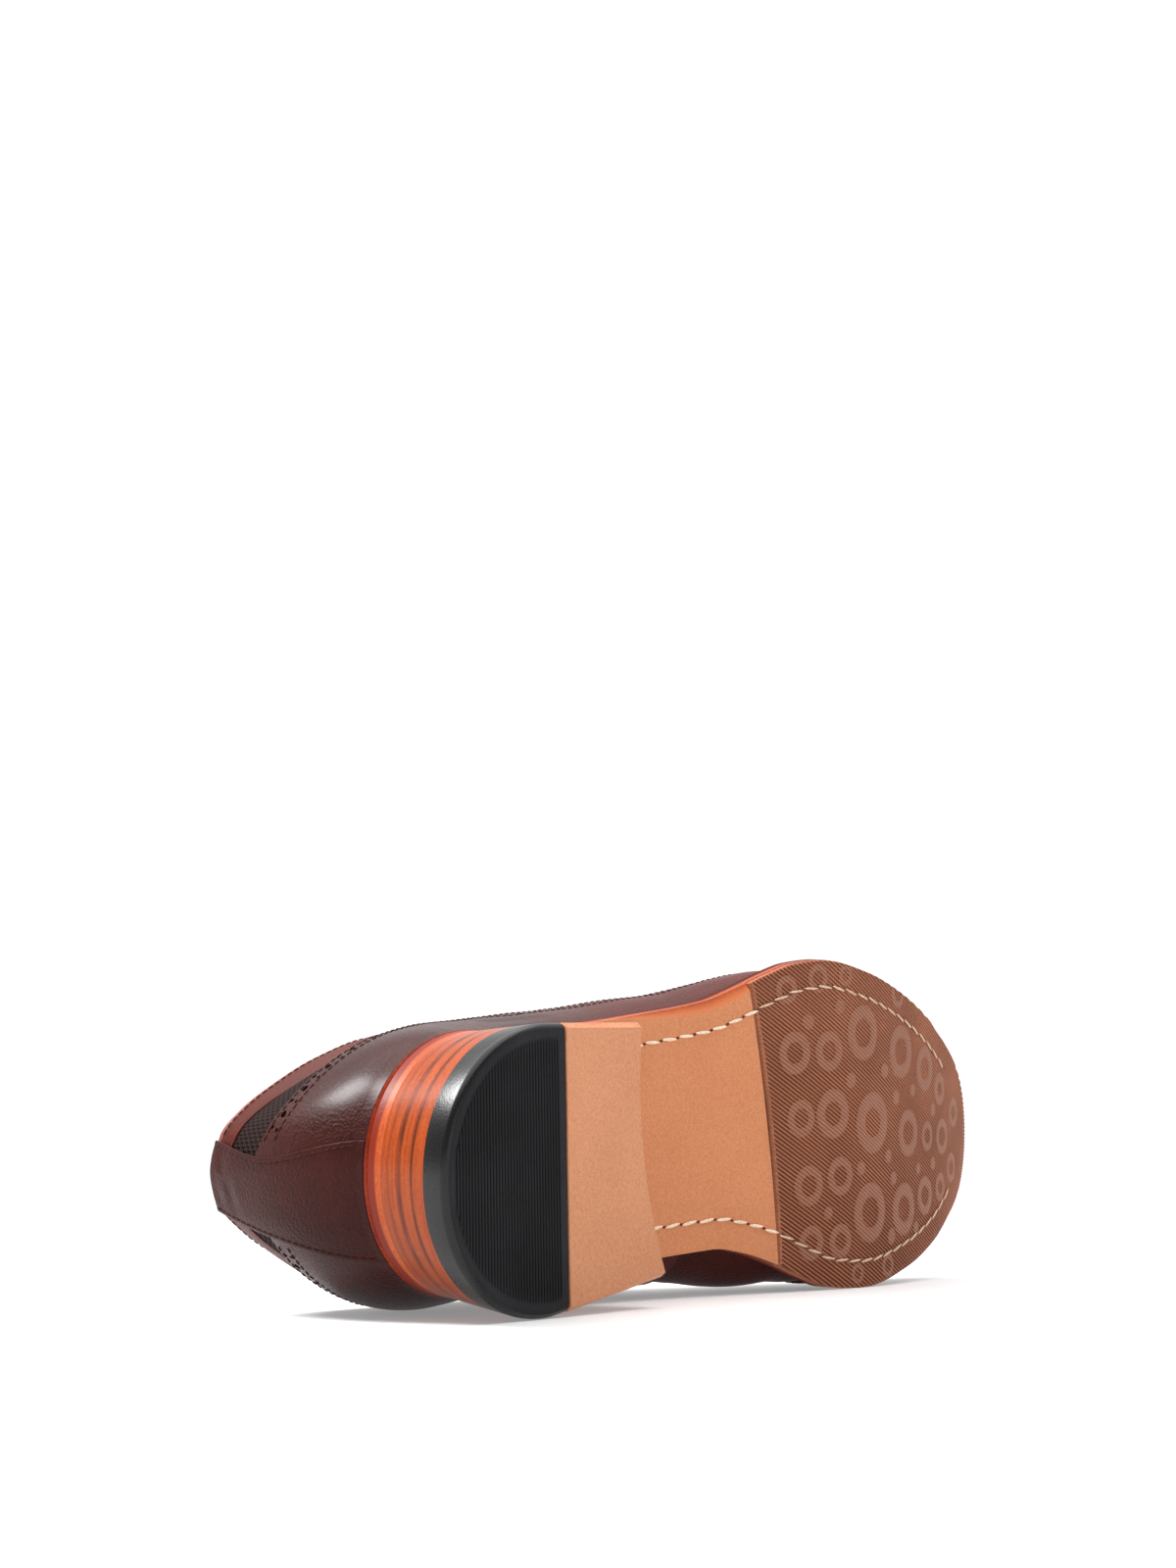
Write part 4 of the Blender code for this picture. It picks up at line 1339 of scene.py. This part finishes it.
def make_welt():
    profile = resampled(np.array(WELT_PROFILE), WELT_STEPS)

    def on_welt(around, across):
        share, inside = np.abs(1 - 2 * around), around < 0.5
        inset, rise = on_profile(profile, across)
        spot = np.zeros((len(around), 2))
        for side, here in ((INNER, inside), (OUTER, ~inside)):
            base, out = (along_path(share, EDGE_SHARES, values[side]) for values in (EDGES, OUTWARD))
            spot[here] = (base - out * inset[:, None])[here]
        height = underside(spot[:, 0]) + OUTSOLE_THICK + GAP / 2 + rise
        return np.column_stack([spot, height]), {}

    sheet("welt_bead", (WELT_EDGE,), on_welt, 300, WELT_STEPS, nodes=("welt",))


def make_tread():
    tread = [edge_between(side, tread_line(side) + TREAD_STEP + GAP, LENGTH, TREAD_INSET, SOLE_ROWS // 2)
             for side in SIDES]
    slab("tread_body", (TREAD_RUBBER, TREAD_EDGE),
         [(*tread, above(underside, TREAD_RIB_DEPTH + LAP)), (*tread, above(underside, TREAD_THICK))],
         2, nodes=("forefoot_tread",))
    make_tread_ribs(*tread)
    make_tread_rings(*tread)
    make_tread_border(*tread)


def make_tread_ribs(outer, inner):
    """Fine slanting ribs, cut off at the tread's outline."""
    line = np.linspace(inner[0], outer[0], 41)[1:-1]
    line[:, 0] += tread_bow(line[:, 0], np.linspace(1, 0, 41)[1:-1])
    outline = np.vstack([outer, inner[::-1], line, outer[:1]])
    reach = outline @ RIB_ACROSS
    rows = int((reach.max() - reach.min()) / TREAD_RIB_PITCH * TREAD_RIB_STEPS)
    heights = np.linspace(reach.min() + TREAD_RIB_TRIM, reach.max() - TREAD_RIB_TRIM, rows + 1)
    ends = np.zeros((rows + 1, 2))
    for number, height in enumerate(heights):
        crossing = np.nonzero((reach[:-1] - height) * (reach[1:] - height) <= 0)[0]
        share = (height - reach[crossing]) / (reach[crossing + 1] - reach[crossing])
        spots = outline[crossing] + (outline[crossing + 1] - outline[crossing]) * share[:, None]
        ends[number] = (spots @ RIB_ALONG).min(), (spots @ RIB_ALONG).max()

    def on_ribs(cut, part):
        row = row_of(cut, rows)
        start, stop = ends[row].T
        margin = TREAD_RIB_LIP / np.maximum(stop - start, TREAD_RIB_LEAST)
        share = np.clip((part * TREAD_RIB_COLUMNS - 1) / (TREAD_RIB_COLUMNS - 2), 0, 1)
        share = np.where((part > 0) & (part < 1), margin + share * (1 - 2 * margin), part)
        spot = (start + (stop - start) * share)[:, None] * RIB_ALONG + heights[row][:, None] * RIB_ACROSS
        groove = ribbed(heights[row], TREAD_RIB_PITCH, TREAD_GROOVE)
        border = at_border(part)
        depth = np.where(border, TREAD_RIB_DEPTH + TREAD_RIB_SINK, groove * TREAD_RIB_DEPTH)
        points = np.column_stack([spot, underside(spot[:, 0]) + depth])
        # Painted shade: the grooves between the ribs, and a little the ribs' sunken ends, are painted
        # darker.
        return points, {"groove": np.where(border, LIP_SHADE, groove)}

    sheet("tread_ribs", (TREAD_RUBBER,), on_ribs, rows, TREAD_RIB_COLUMNS)


def make_tread_rings(outer, inner):
    """Low rings and dots over the ribs, cut off at the tread's edge."""
    rings = bmesh.new()
    rings.verts.layers.float.new("rib")
    for x, y, wide, hole in (*TREAD_RINGS, *((*dot, 0.0) for dot in TREAD_DOTS)):
        bm, turn, part = grid(36, 4)
        angle = turn * 2 * math.pi
        radius = hole + (wide - hole) * part
        spot_x = x + radius * np.cos(angle)
        low, high = (np.interp(spot_x, edge[:, 0], edge[:, 1]) for edge in (outer, inner))
        spot_y = np.clip(y + radius * np.sin(angle), low + RING_MARGIN, high - RING_MARGIN)
        border = (part == 1) | ((part == 0) & (hole > 0))
        depth = np.where(border, RING_SINK, -RING_PROUD)
        spots = np.column_stack([spot_x, spot_y, underside(spot_x) + depth])
        shaped(bm, spots, {"rib": spots[:, :2] @ RIB_ACROSS / TREAD_RIB_PITCH})
        loose = bpy.data.meshes.new("loose_ring")
        bm.to_mesh(loose)
        bm.free()
        rings.from_mesh(loose)
        bpy.data.meshes.remove(loose)
    bmesh.ops.recalc_face_normals(rings, faces=rings.faces)
    finished("tread_rings", rings, (RING_RUBBER,))


def make_tread_border(outer, inner):
    """Notched strip along the tread's front line, with painted shade in its notches."""
    def on_border(along, part):
        x = tread_line(OUTER) + (tread_line(INNER) - tread_line(OUTER)) * along
        x = x + tread_bow(x, along) + BORDER_START + BORDER_WIDE * part
        y = outer[0, 1] + (inner[0, 1] - outer[0, 1]) * along
        notch = BORDER_NOTCH * (np.cos(2 * math.pi * along * BORDER_NOTCHES) > 0)
        depth = np.where(at_border(part), BORDER_SINK, notch - BORDER_PROUD)
        # Painted shade in the notches.
        return np.column_stack([x, y, underside(x) + depth]), {"groove": notch * NOTCH_SHADE}

    sheet("tread_border", (TREAD_RUBBER,), on_border, 4 * BORDER_NOTCHES, 6)


def make_sole_stitches():
    stout, thin, holes = [], [], []
    for side, word in ((OUTER, "outer"), (INNER, "inner")):
        front = tread_line(side)
        curve = inset_curve(EDGES[side], side, STITCH_INSET)
        curve = curve[(curve[:, 0] > STITCH_START) & (curve[:, 0] < STITCH_END)]
        curve = resampled(curve, 300)
        path = np.column_stack([curve, underside(curve[:, 0]) - STITCH_PROUD])
        down = np.tile((0.0, 0.0, -1.0), (len(path), 1))
        for row, size, found in ((stout, WAIST_STITCH, np.less), (thin, TREAD_STITCH, np.greater)):
            stitches = stitch_frames(path, down, STITCH_PITCH, size, slant=STITCH_SLANT * side)
            row += [stitch for stitch in stitches if found(stitch[0][0], front + STITCH_CHANGE)]
        waist = path[path[:, 0] < front]
        # Needle holes: small beads painted darker as the holes' painted shade.
        holes += stitch_frames(waist, down[:len(waist)], STITCH_PITCH, STITCH_HOLE, start=STITCH_PITCH / 2)
        make_channel(path[path[:, 0] > front + CHANNEL_START], side, word)
    copies("waist_stitches", CREAM_THREAD, bead(), stout)
    # The tread's stitches take the thread's painted-shade copy.
    copies("tread_stitches", SHADED_TREAD_THREAD, bead(), thin)
    copies("sole_needle_holes", NEEDLE_HOLE_SHADE, bead(), holes)


def make_channel(path, side, word):
    """Smooth strip that the tread's stitches lie in, painted darker towards its middle: the painted shade
    of a sunk channel.
    """
    into = inward(path[:, :2], side)
    into[[0, -1]] = into[[1, -2]]

    def on_channel(along, across):
        row = row_of(along, len(path) - 1)
        spot = path[row, :2] + into[row] * ((across - 0.5) * CHANNEL_WIDE)[:, None]
        points = np.column_stack([spot, underside(spot[:, 0]) - CHANNEL_PROUD])
        # Painted shade, darkest along the middle.
        return points, {"groove": 1 - np.abs(across - 0.5)}

    sheet(f"shaded_stitch_channel_{word}", (TREAD_RUBBER,), on_channel, len(path) - 1, 2)


def make_heel():
    def level(z, start, stop, extra=0.0, rows=HEEL_ROWS):
        slant = BREAST_SLANT if stop > RUBBER_LINE_X else 0.0
        inset = HEEL_FLARE * z / (HEEL_TOP + GAP) + extra
        sides = [heel_between(side, start, stop + side * slant, inset, rows) for side in SIDES]
        return (*sides, lambda x, row: np.full(np.shape(x), z))

    rim = [(RIB_DEPTH + (RIM_ROUND - RIB_DEPTH) * (1 - math.cos(turn)), RIM_ROUND * (1 - math.sin(turn)))
           for turn in RIM_TURNS]
    rubber = [(RIB_DEPTH + RIB_LAP, RIM_ROUND), *rim, (RIM_ROUND, 0.0), (TOP_PIECE_THICK + LAP, 0.0)]
    slab("heel_rubber_piece", (BLACK_RUBBER, RIM_RUBBER),
         [level(z, 0.0, RUBBER_LINE_X, inset) for z, inset in rubber], 12, nodes=("heel_rubber",))
    make_heel_ribs()

    leather = [(0.0, EDGE_TURN), (EDGE_TURN, 0.0), (TOP_PIECE_THICK + LAP, 0.0)]
    front = slab("heel_leather_piece", (HEEL_LEATHER, HEEL_EDGE),
                 [level(z, RUBBER_LINE_X + GAP, BREAST_X, inset, rows=40) for z, inset in leather],
                 16, bow=-BREAST_HOLLOW, nodes=("heel_leather",))
    rounded(front, HEEL_EDGE_ROUND)
    for number, lines in enumerate(zip(LIFT_LINES[:-1], LIFT_LINES[1:]), start=1):
        slab(f"heel_lift_{number}_leather", (SOLE_LEATHER, STACK),
             [level(z, 0.0, BREAST_X) for z in lines], 12, bow=-BREAST_HOLLOW,
             nodes=(f"heel_lift_{number}",))


def make_heel_ribs():
    """Fine ribs across the rubber, inside its rim."""
    field = [heel_between(side, 0.0, RUBBER_LINE_X, RIB_INSET, HEEL_ROWS) for side in SIDES]
    start, stop = RIB_INSET + RIB_BACK, RUBBER_LINE_X - RIB_FRONT

    def on_ribs(along, across):
        x = start + (stop - start) * along
        low, high = (np.interp(x, edge[:, 0], edge[:, 1]) for edge in field)
        groove = ribbed(x, RIB_PITCH, HEEL_GROOVE)
        border = at_border(across) | at_border(along)
        depth = np.where(border, RIB_DEPTH + RIB_SINK, groove * RIB_DEPTH)
        # Painted shade in the grooves between the ribs.
        return np.column_stack([x, low + (high - low) * across, depth]), {"groove": groove}

    sheet("heel_rubber_ribs", (BLACK_RUBBER,), on_ribs, RIB_ROWS, 40)


# Upper

def walk(along, side):
    """A walk along one side, reversed inside, so that the faces of both sides point outwards."""
    return along if side == OUTER else 1 - along


def gimp(run):
    """Zigzag of a pinked edge, from -0.5 to 0.5."""
    return np.abs((run / GIMP_PITCH) % 1.0 - 0.5) * 2 - 0.5


def wing_rear(side, rise, inset=0.0):
    """Share of the wing's rear edge, or of a line so far inside it. It starts later beside the ball."""
    shift = WING_SHIFT * (1 - eased(rise, *WING_SHIFT_RISE)) if side == INNER else 0.0
    return WING_REAR(rise) + shift + inset / EDGE_RUN[side]


def skirted(points, up):
    """The same points with their lowest row pushed down into the welt."""
    return points - np.column_stack([np.zeros((len(up), 2)), np.where(up == 0, SKIRT, 0.0)])


def make_upper():
    def on_wall(around, rise):
        return skin(2 * around - 1, rise)[0], {}

    upper = sheet("upper_wall", (UPPER_LEATHER, LINING, BINDING), on_wall, 320, 48,
                  nodes=("upper",))
    solid = walled(upper, WALL, outwards=False)
    solid.material_offset = 1
    solid.material_offset_rim = 2

    profile = resampled(np.array(BINDING_PROFILE), BINDING_STEPS)

    def on_binding(along, across):
        signed = (2 * along - 1) * BINDING_END
        spot, normal = skin(signed, 1.0)
        up = unit(spot - skin(signed, BINDING_BELOW)[0])
        out, rise = on_profile(profile, across)
        return spot + normal * out[:, None] + up * rise[:, None], {}

    binding = sheet("collar_binding", (BINDING,), on_binding, 300, BINDING_STEPS)
    walled(binding, TRIM_THICK, outwards=False)
    for side, word in ((OUTER, "outer"), (INNER, "inner")):
        make_gusset(side, word)
        make_collar(side, word)


def make_gusset(side, word):
    """Woven band between the quarter's overlay and the collar panel."""
    def on_gusset(along, up):
        share = PANEL_START + walk(along, side) * (WEAVE_END - PANEL_START)
        foot = FOXING_EDGE[side](share) - GUSSET_FOOT_LAP
        head = np.maximum(COLLAR_FOOT(share) + GUSSET_HEAD_LAP, foot + GUSSET_LEAST)
        rise = foot + up * (head - foot)
        fields = {"run": share * EDGE_RUN[OUTER], "up": rise * WALL_HEIGHT}
        return skin(-side * share, rise, GUSSET_LIFT)[0], fields

    gusset = sheet(f"weave_gusset_{word}", (WEAVE,), on_gusset, 60, 40)
    walled(gusset, TRIM_THICK, outwards=True)


def make_collar(side, word):
    """Padded panel under the collar's edge."""
    def on_collar(along, up):
        share = PANEL_START + walk(along, side) * (PANEL_END - PANEL_START)
        lower = np.where(share < WEAVE_END, COLLAR_FOOT(np.minimum(share, WEAVE_END)), 0.0)
        foot = np.maximum(lower, FOXING_EDGE[side](share) - PANEL_LAP)
        rise = foot + up * (PANEL_HEAD - foot)
        pad = COLLAR_PAD * np.sin(math.pi * np.clip((rise - PAD_FOOT) / PAD_HEIGHT, 0, 1)) ** 2
        return skin(-side * share, rise, PANEL_LIFT + pad)[0], {}

    collar = sheet(f"collar_panel_{word}", (COLLAR_LEATHER,), on_collar, 150, 30)
    walled(collar, TRIM_THICK, outwards=True, bevel=PANEL_ROUND)


def overlay(name, place, rows, columns, node, finish=OVERLAY_LEATHER):
    made = sheet(name, (finish,), place, rows, columns, nodes=(node,))
    walled(made, OVERLAY_THICK, outwards=True, bevel=OVERLAY_ROUND)


def make_overlays():
    def on_strip(across, up):
        rise = OVERLAY_FOOT + (OVERLAY_HEAD - OVERLAY_FOOT) * up
        inner, outer = STRIP_SIDE[INNER](rise), STRIP_SIDE[OUTER](rise)
        border = np.minimum(across, 1 - across) * (inner + outer) * EDGE_RUN[OUTER]
        fold = STRIP_FOLD * np.exp(-((border - STRIP_FOLD_WIDE) / STRIP_FOLD_WIDE) ** 2)
        lift = OVERLAY_GAP + STRIP_STEP + fold
        return skirted(skin(-inner + across * (inner + outer), rise, lift)[0], up), {}

    overlay("back_strip_leather", on_strip, 60, 90, "back_strip", STRIP_LEATHER)
    for side, word in ((OUTER, "lateral"), (INNER, "medial")):
        make_foxing(side, word)
        make_facing(side, word)

    def on_wing(along, up):
        outside = along < 0.5
        rise = np.maximum(up, OVERLAY_FOOT)
        back = np.where(outside, wing_rear(OUTER, rise), wing_rear(INNER, rise))
        back = back + gimp(rise * WING_RUN) * WING_GIMP / EDGE_RUN[OUTER]
        share = back + (1 - np.abs(2 * along - 1)) * (1 - back)
        return skirted(skin(np.where(outside, share, -share), rise, OVERLAY_GAP)[0], up), {}

    overlay("wing_tip_leather", on_wing, 150, 150, "wing_tip")


def make_foxing(side, word):
    """Quarter's overlay, with a pinked top edge."""
    def on_foxing(along, up):
        back = STRIP_SIDE[side](OVERLAY_FOOT + FOXING_EDGE[side](0.0) * up) + FOXING_TUCK
        front = FOXING_FRONT[side] + FOXING_LEAN * up
        share = back + walk(along, side) * (front - back)
        edge = FOXING_EDGE[side](share) + gimp(share * EDGE_RUN[side]) * GIMP_DEPTH / WALL_HEIGHT
        rise = OVERLAY_FOOT + up * (edge - OVERLAY_FOOT)
        return skirted(skin(-side * share, rise, OVERLAY_GAP)[0], up), {}

    overlay(f"foxing_{word}_leather", on_foxing, 260, 26, f"foxing_{word}")


def make_facing(side, word):
    """Eyelet facing beside the throat, with a pinked lower edge."""
    def on_facing(along, up):
        start, stop, low, high = FACING
        share = start + walk(along, side) * (stop - start)
        foot = low + gimp(share * EDGE_RUN[side]) * GIMP_DEPTH / WALL_HEIGHT
        return skin(-side * share, foot + up * (high - foot), OVERLAY_GAP)[0], {}

    overlay(f"facing_{word}_leather", on_facing, 130, 14, f"facing_{word}")


def make_piercings():
    """Brogue rows: a large hole, then a pair of small ones across the row."""
    frames = []

    def pierce(signed, rises):
        points, normals = skin(signed, rises, OVERLAY_TOP + HOLE_LIFT)
        run = run_of(points)
        start, stop = HOLE_ENDS
        for number, at in enumerate(np.arange(start, run[-1] - stop, HOLE_PITCH)):
            spot, ahead = (along_path(at + step, run, points) for step in (0.0, NEARBY))
            normal = unit(along_path(at, run, normals))
            along = unit(ahead - spot)
            across = np.cross(normal, along)
            shifts, size = ((0.0,), LARGE_HOLE) if number % 2 else (PAIR_SHIFTS, SMALL_HOLE)
            for shift in shifts:
                frames.append((spot + across * shift, (along * size, across * size, normal)))

    for side in SIDES:
        shares = np.linspace(STRIP_SIDE[side](STRIP_MEET) + FOXING_HOLES_START, FOXING_FRONT[side], 300)
        pierce(-side * shares, FOXING_EDGE[side](shares) - FOXING_HOLES / WALL_HEIGHT)
        rises = np.linspace(*WING_HOLES_RISE, 300)
        pierce(-side * wing_rear(side, rises, WING_HOLES), rises)
        shares = np.linspace(*np.add(FACING[:2], FACING_HOLES_ENDS), 200)
        pierce(-side * shares, FACING[2] + FACING_HOLES / WALL_HEIGHT)
    copies("pierced_holes", PIERCED_SHADE, dish(), frames)


def make_seams():
    """Rows of fine stitches beside the borders of the overlays."""
    frames = []
    top = OVERLAY_TOP + SEAM_LIFT

    def sew(signed, rises, lift=top):
        points, normals = skin(signed, rises, lift)
        frames.extend(stitch_frames(points, normals, SEAM_PITCH, SEAM_STITCH))

    low, high = FACING[2:]
    for side in SIDES:
        rises = np.linspace(*STRIP_SEAM_RISE, 160)
        sew(-side * (STRIP_SIDE[side](rises) - STRIP_SEAM / EDGE_RUN[side]), rises, top + STRIP_STEP)
        shares = np.linspace(STRIP_SIDE[side](STRIP_MEET) + FOXING_SEAMS_START, FOXING_FRONT[side], 240)
        for inset in FOXING_SEAMS:
            sew(-side * shares, FOXING_EDGE[side](shares) - inset / WALL_HEIGHT)
        rises = np.linspace(*WING_SEAMS_RISE, 240)
        for inset in WING_SEAMS:
            sew(-side * wing_rear(side, rises, inset), rises)
        shares = np.linspace(*np.add(FACING[:2], FACING_SEAMS_ENDS), 160)
        for rise in (low + FACING_SEAMS[0] / WALL_HEIGHT, high - FACING_SEAMS[1] / WALL_HEIGHT):
            sew(-side * shares, rise)
        shares = np.linspace(COLLAR_SEAM_START, PANEL_END, 200)
        sew(-side * shares, COLLAR_SEAM_RISE, COLLAR_SEAM_LIFT)
    copies("upper_seams", DARK_THREAD, bead(), frames)


# Tongue and laces

def over_throat(share, rises, lifts):
    """Points up the outer wall, over the throat and down the inner wall."""
    outer, inner = (skin(sign * share, rises, lifts)[0] for sign in (1, -1))
    return np.vstack([outer, inner[::-1]])


def relaxed(lines, times):
    """Lines of points, drawn smooth between their ends."""
    for _ in range(times):
        lines[..., 1:-1, :] = (lines[..., :-2, :] + 2 * lines[..., 1:-1, :] + lines[..., 2:, :]) / 4
    return lines


def make_tongue():
    start, stop, top_rise, foot_rise, free = TONGUE
    rows, columns = 60, 28

    def profile(share, rise):
        points = over_throat(share, np.linspace(rise, 1.0, 5), -TONGUE_DEPTH)
        keep = np.concatenate([[True], np.diff(run_of(points)) > TONGUE_APART])
        return resampled(points[keep], columns)

    def on_tongue(along, across):
        lines = []
        for part in np.linspace(0.0, 1.0, rows + 1):
            share = start + max(part - free, 0.0) / (1 - free) * (stop - start)
            rise = top_rise + (foot_rise - top_rise) * part
            line = profile(share, rise)
            if part < free:
                away = unit((profile(start, rise) - profile(start + TONGUE_AHEAD, rise)) * (1, 0, 1))
                line = line + away * TONGUE_REACH * (1 - part / free)
            lines.append(line)
        return relaxed(np.array(lines), 3)[row_of(along, rows), row_of(across, columns)], {}

    tongue = sheet("tongue_leather", (UPPER_LEATHER, LINING), on_tongue, rows, columns,
                   nodes=("tongue",))
    solid = walled(tongue, TONGUE_THICK, outwards=False, bevel=TONGUE_ROUND)
    solid.material_offset = 1


def make_lace(number, share):
    """One straight run of the lace between its two eyelets."""
    points = resampled(over_throat(share, *np.array(LACE_COURSE).T), LACE_POINTS)
    steps = np.linspace(0, LACE_POINTS, LACE_ROWS + 1)
    route = relaxed(along_path(steps, np.arange(LACE_POINTS + 1), points), 6)
    run = run_of(route)
    forward = unit(np.gradient(route, axis=0))
    out = unit(np.cross(forward, np.cross(LACE_UP, forward)))
    beside = np.cross(forward, out)

    def on_lace(along, around):
        row = row_of(along, LACE_ROWS)
        angle = around * 2 * math.pi
        ring = out[row] * np.cos(angle)[:, None] + beside[row] * np.sin(angle)[:, None]
        return route[row] + ring * LACE_RADIUS, {"run": run[row], "around": around}

    sheet(f"lace_run_{number}", (LACE,), on_lace, LACE_ROWS, LACE_SIDES,
          nodes=(f"lace_bar_{number}",))


def make_laces():
    eyelets = []
    signs = np.array((1, -1))
    for number, share in enumerate(LACE_SHARES, start=1):
        make_lace(number, share)
        spots, normals = skin(signs * share, LACE_HOLE - EYELET_DROP, OVERLAY_TOP)
        ahead, here = (skin(signs * at, LACE_HOLE)[0] for at in (share + EYELET_AHEAD, share))
        for spot, normal, along in zip(spots, normals, unit(ahead - here)):
            eyelets.append((spot, (along, np.cross(normal, along), normal)))
    copies("eyelet_rings", EYELET, eyelet(), eyelets)


# Stage

# Camera in the shoe's frame: place in millimetres, and its right, down and forward directions
CAMERA_PLACE = (-340.19, -63.11, -299.28)
CAMERA_RIGHT = (0.6010, 0.0165, -0.7991)
CAMERA_DOWN = (0.0483, 0.9972, 0.0569)
CAMERA_FORWARD = (0.7978, -0.0728, 0.5985)
FOCAL_SHARE = 1916.288 / 1600
SENSOR = 36.0
NEAREST = 0.01

# Backdrop: the way it is white, and how far a direction turns that way where it is darkest and
# brightest, then its brightness there
BACKDROP_WAY = (0.797, 0.604, 0.0)
BACKDROP_LEVELS = (-0.25, 0.35, 0.42, 1.08)

# Floor: half size, glow and tones
FLOOR_SIZE = 6.0
FLOOR_GLOW = 0.25
FLOOR_TONES = (0.58, 0.60)

# Soft boxes: name, place, what it faces, width and height, power. The sun has power and spread
SOFT_BOXES = (
    ("key_behind_heel", (-0.46, 0.42, 0.66), (-0.13, 0.0, 0.05), (0.24, 0.24), 11.0),
    ("sole_fill", (-0.35, -1.05, 0.22), (0.0, -0.04, 0.04), (0.8, 0.4), 1.0),
)
SUN_POWER = 3.6
SUN_SPREAD = math.radians(80)


def make_camera():
    data = bpy.data.cameras.new("photo_camera")
    data.sensor_width = SENSOR
    data.lens = FOCAL_SHARE * SENSOR
    data.clip_start = NEAREST
    camera = placed("photo_camera", data)
    right, down, forward = (LAID_TURN @ np.array(axis)
                            for axis in (CAMERA_RIGHT, CAMERA_DOWN, CAMERA_FORWARD))
    turn = Matrix(np.column_stack([right, -down, -forward]).tolist()).to_4x4()
    camera.matrix_world = Matrix.Translation(laid([CAMERA_PLACE])[0]) @ turn
    bpy.context.scene.camera = camera


def make_floor():
    bm = bmesh.new()
    bmesh.ops.create_grid(bm, x_segments=1, y_segments=1, size=FLOOR_SIZE)
    mesh = bpy.data.meshes.new("studio_floor")
    bm.to_mesh(mesh)
    bm.free()
    white = Finish("studio_white", Emission_Color=grey(1.0), Emission_Strength=FLOOR_GLOW)
    speck = white.noise(white.place(), 3.0)
    mesh.materials.append(white.looks(white.blend(speck, *map(grey, FLOOR_TONES)), 0.9))
    floor = placed("studio_floor", mesh)


def make_world():
    """A backdrop that is white beyond the shoe and grey on the near side."""
    world = bpy.data.worlds.new("studio")
    backdrop = NodeTree(world)
    direction = backdrop.node("ShaderNodeTexCoord", {}, {}, "Generated")
    facing = backdrop.node("ShaderNodeVectorMath", {"operation": "DOT_PRODUCT"},
                           {0: direction, 1: BACKDROP_WAY}, "Value")
    glow = backdrop.tree.nodes["Background"].inputs
    backdrop.put(glow["Strength"], facing.between(*BACKDROP_LEVELS))
    backdrop.put(glow["Color"], grey(1.0))
    bpy.context.scene.world = world


def make_lights():
    for name, place, target, size, power in SOFT_BOXES:
        data = bpy.data.lights.new(name, "AREA")
        data.shape = "RECTANGLE"
        data.size, data.size_y = size
        data.energy = power
        light = placed(name, data)
        light.location = place
        light.rotation_euler = (Vector(target) - Vector(place)).to_track_quat("-Z", "Y").to_euler()
    sun = bpy.data.lights.new("top_softlight", "SUN")
    sun.energy = SUN_POWER
    sun.angle = SUN_SPREAD
    placed("top_softlight", sun)
    bpy.context.scene.view_settings.view_transform = "Standard"


make_outsole()
make_tread()
make_insole()
make_welt()
make_sole_stitches()
make_heel()
make_upper()
make_overlays()
make_piercings()
make_seams()
make_tongue()
make_laces()
make_camera()
make_floor()
make_world()
make_lights()
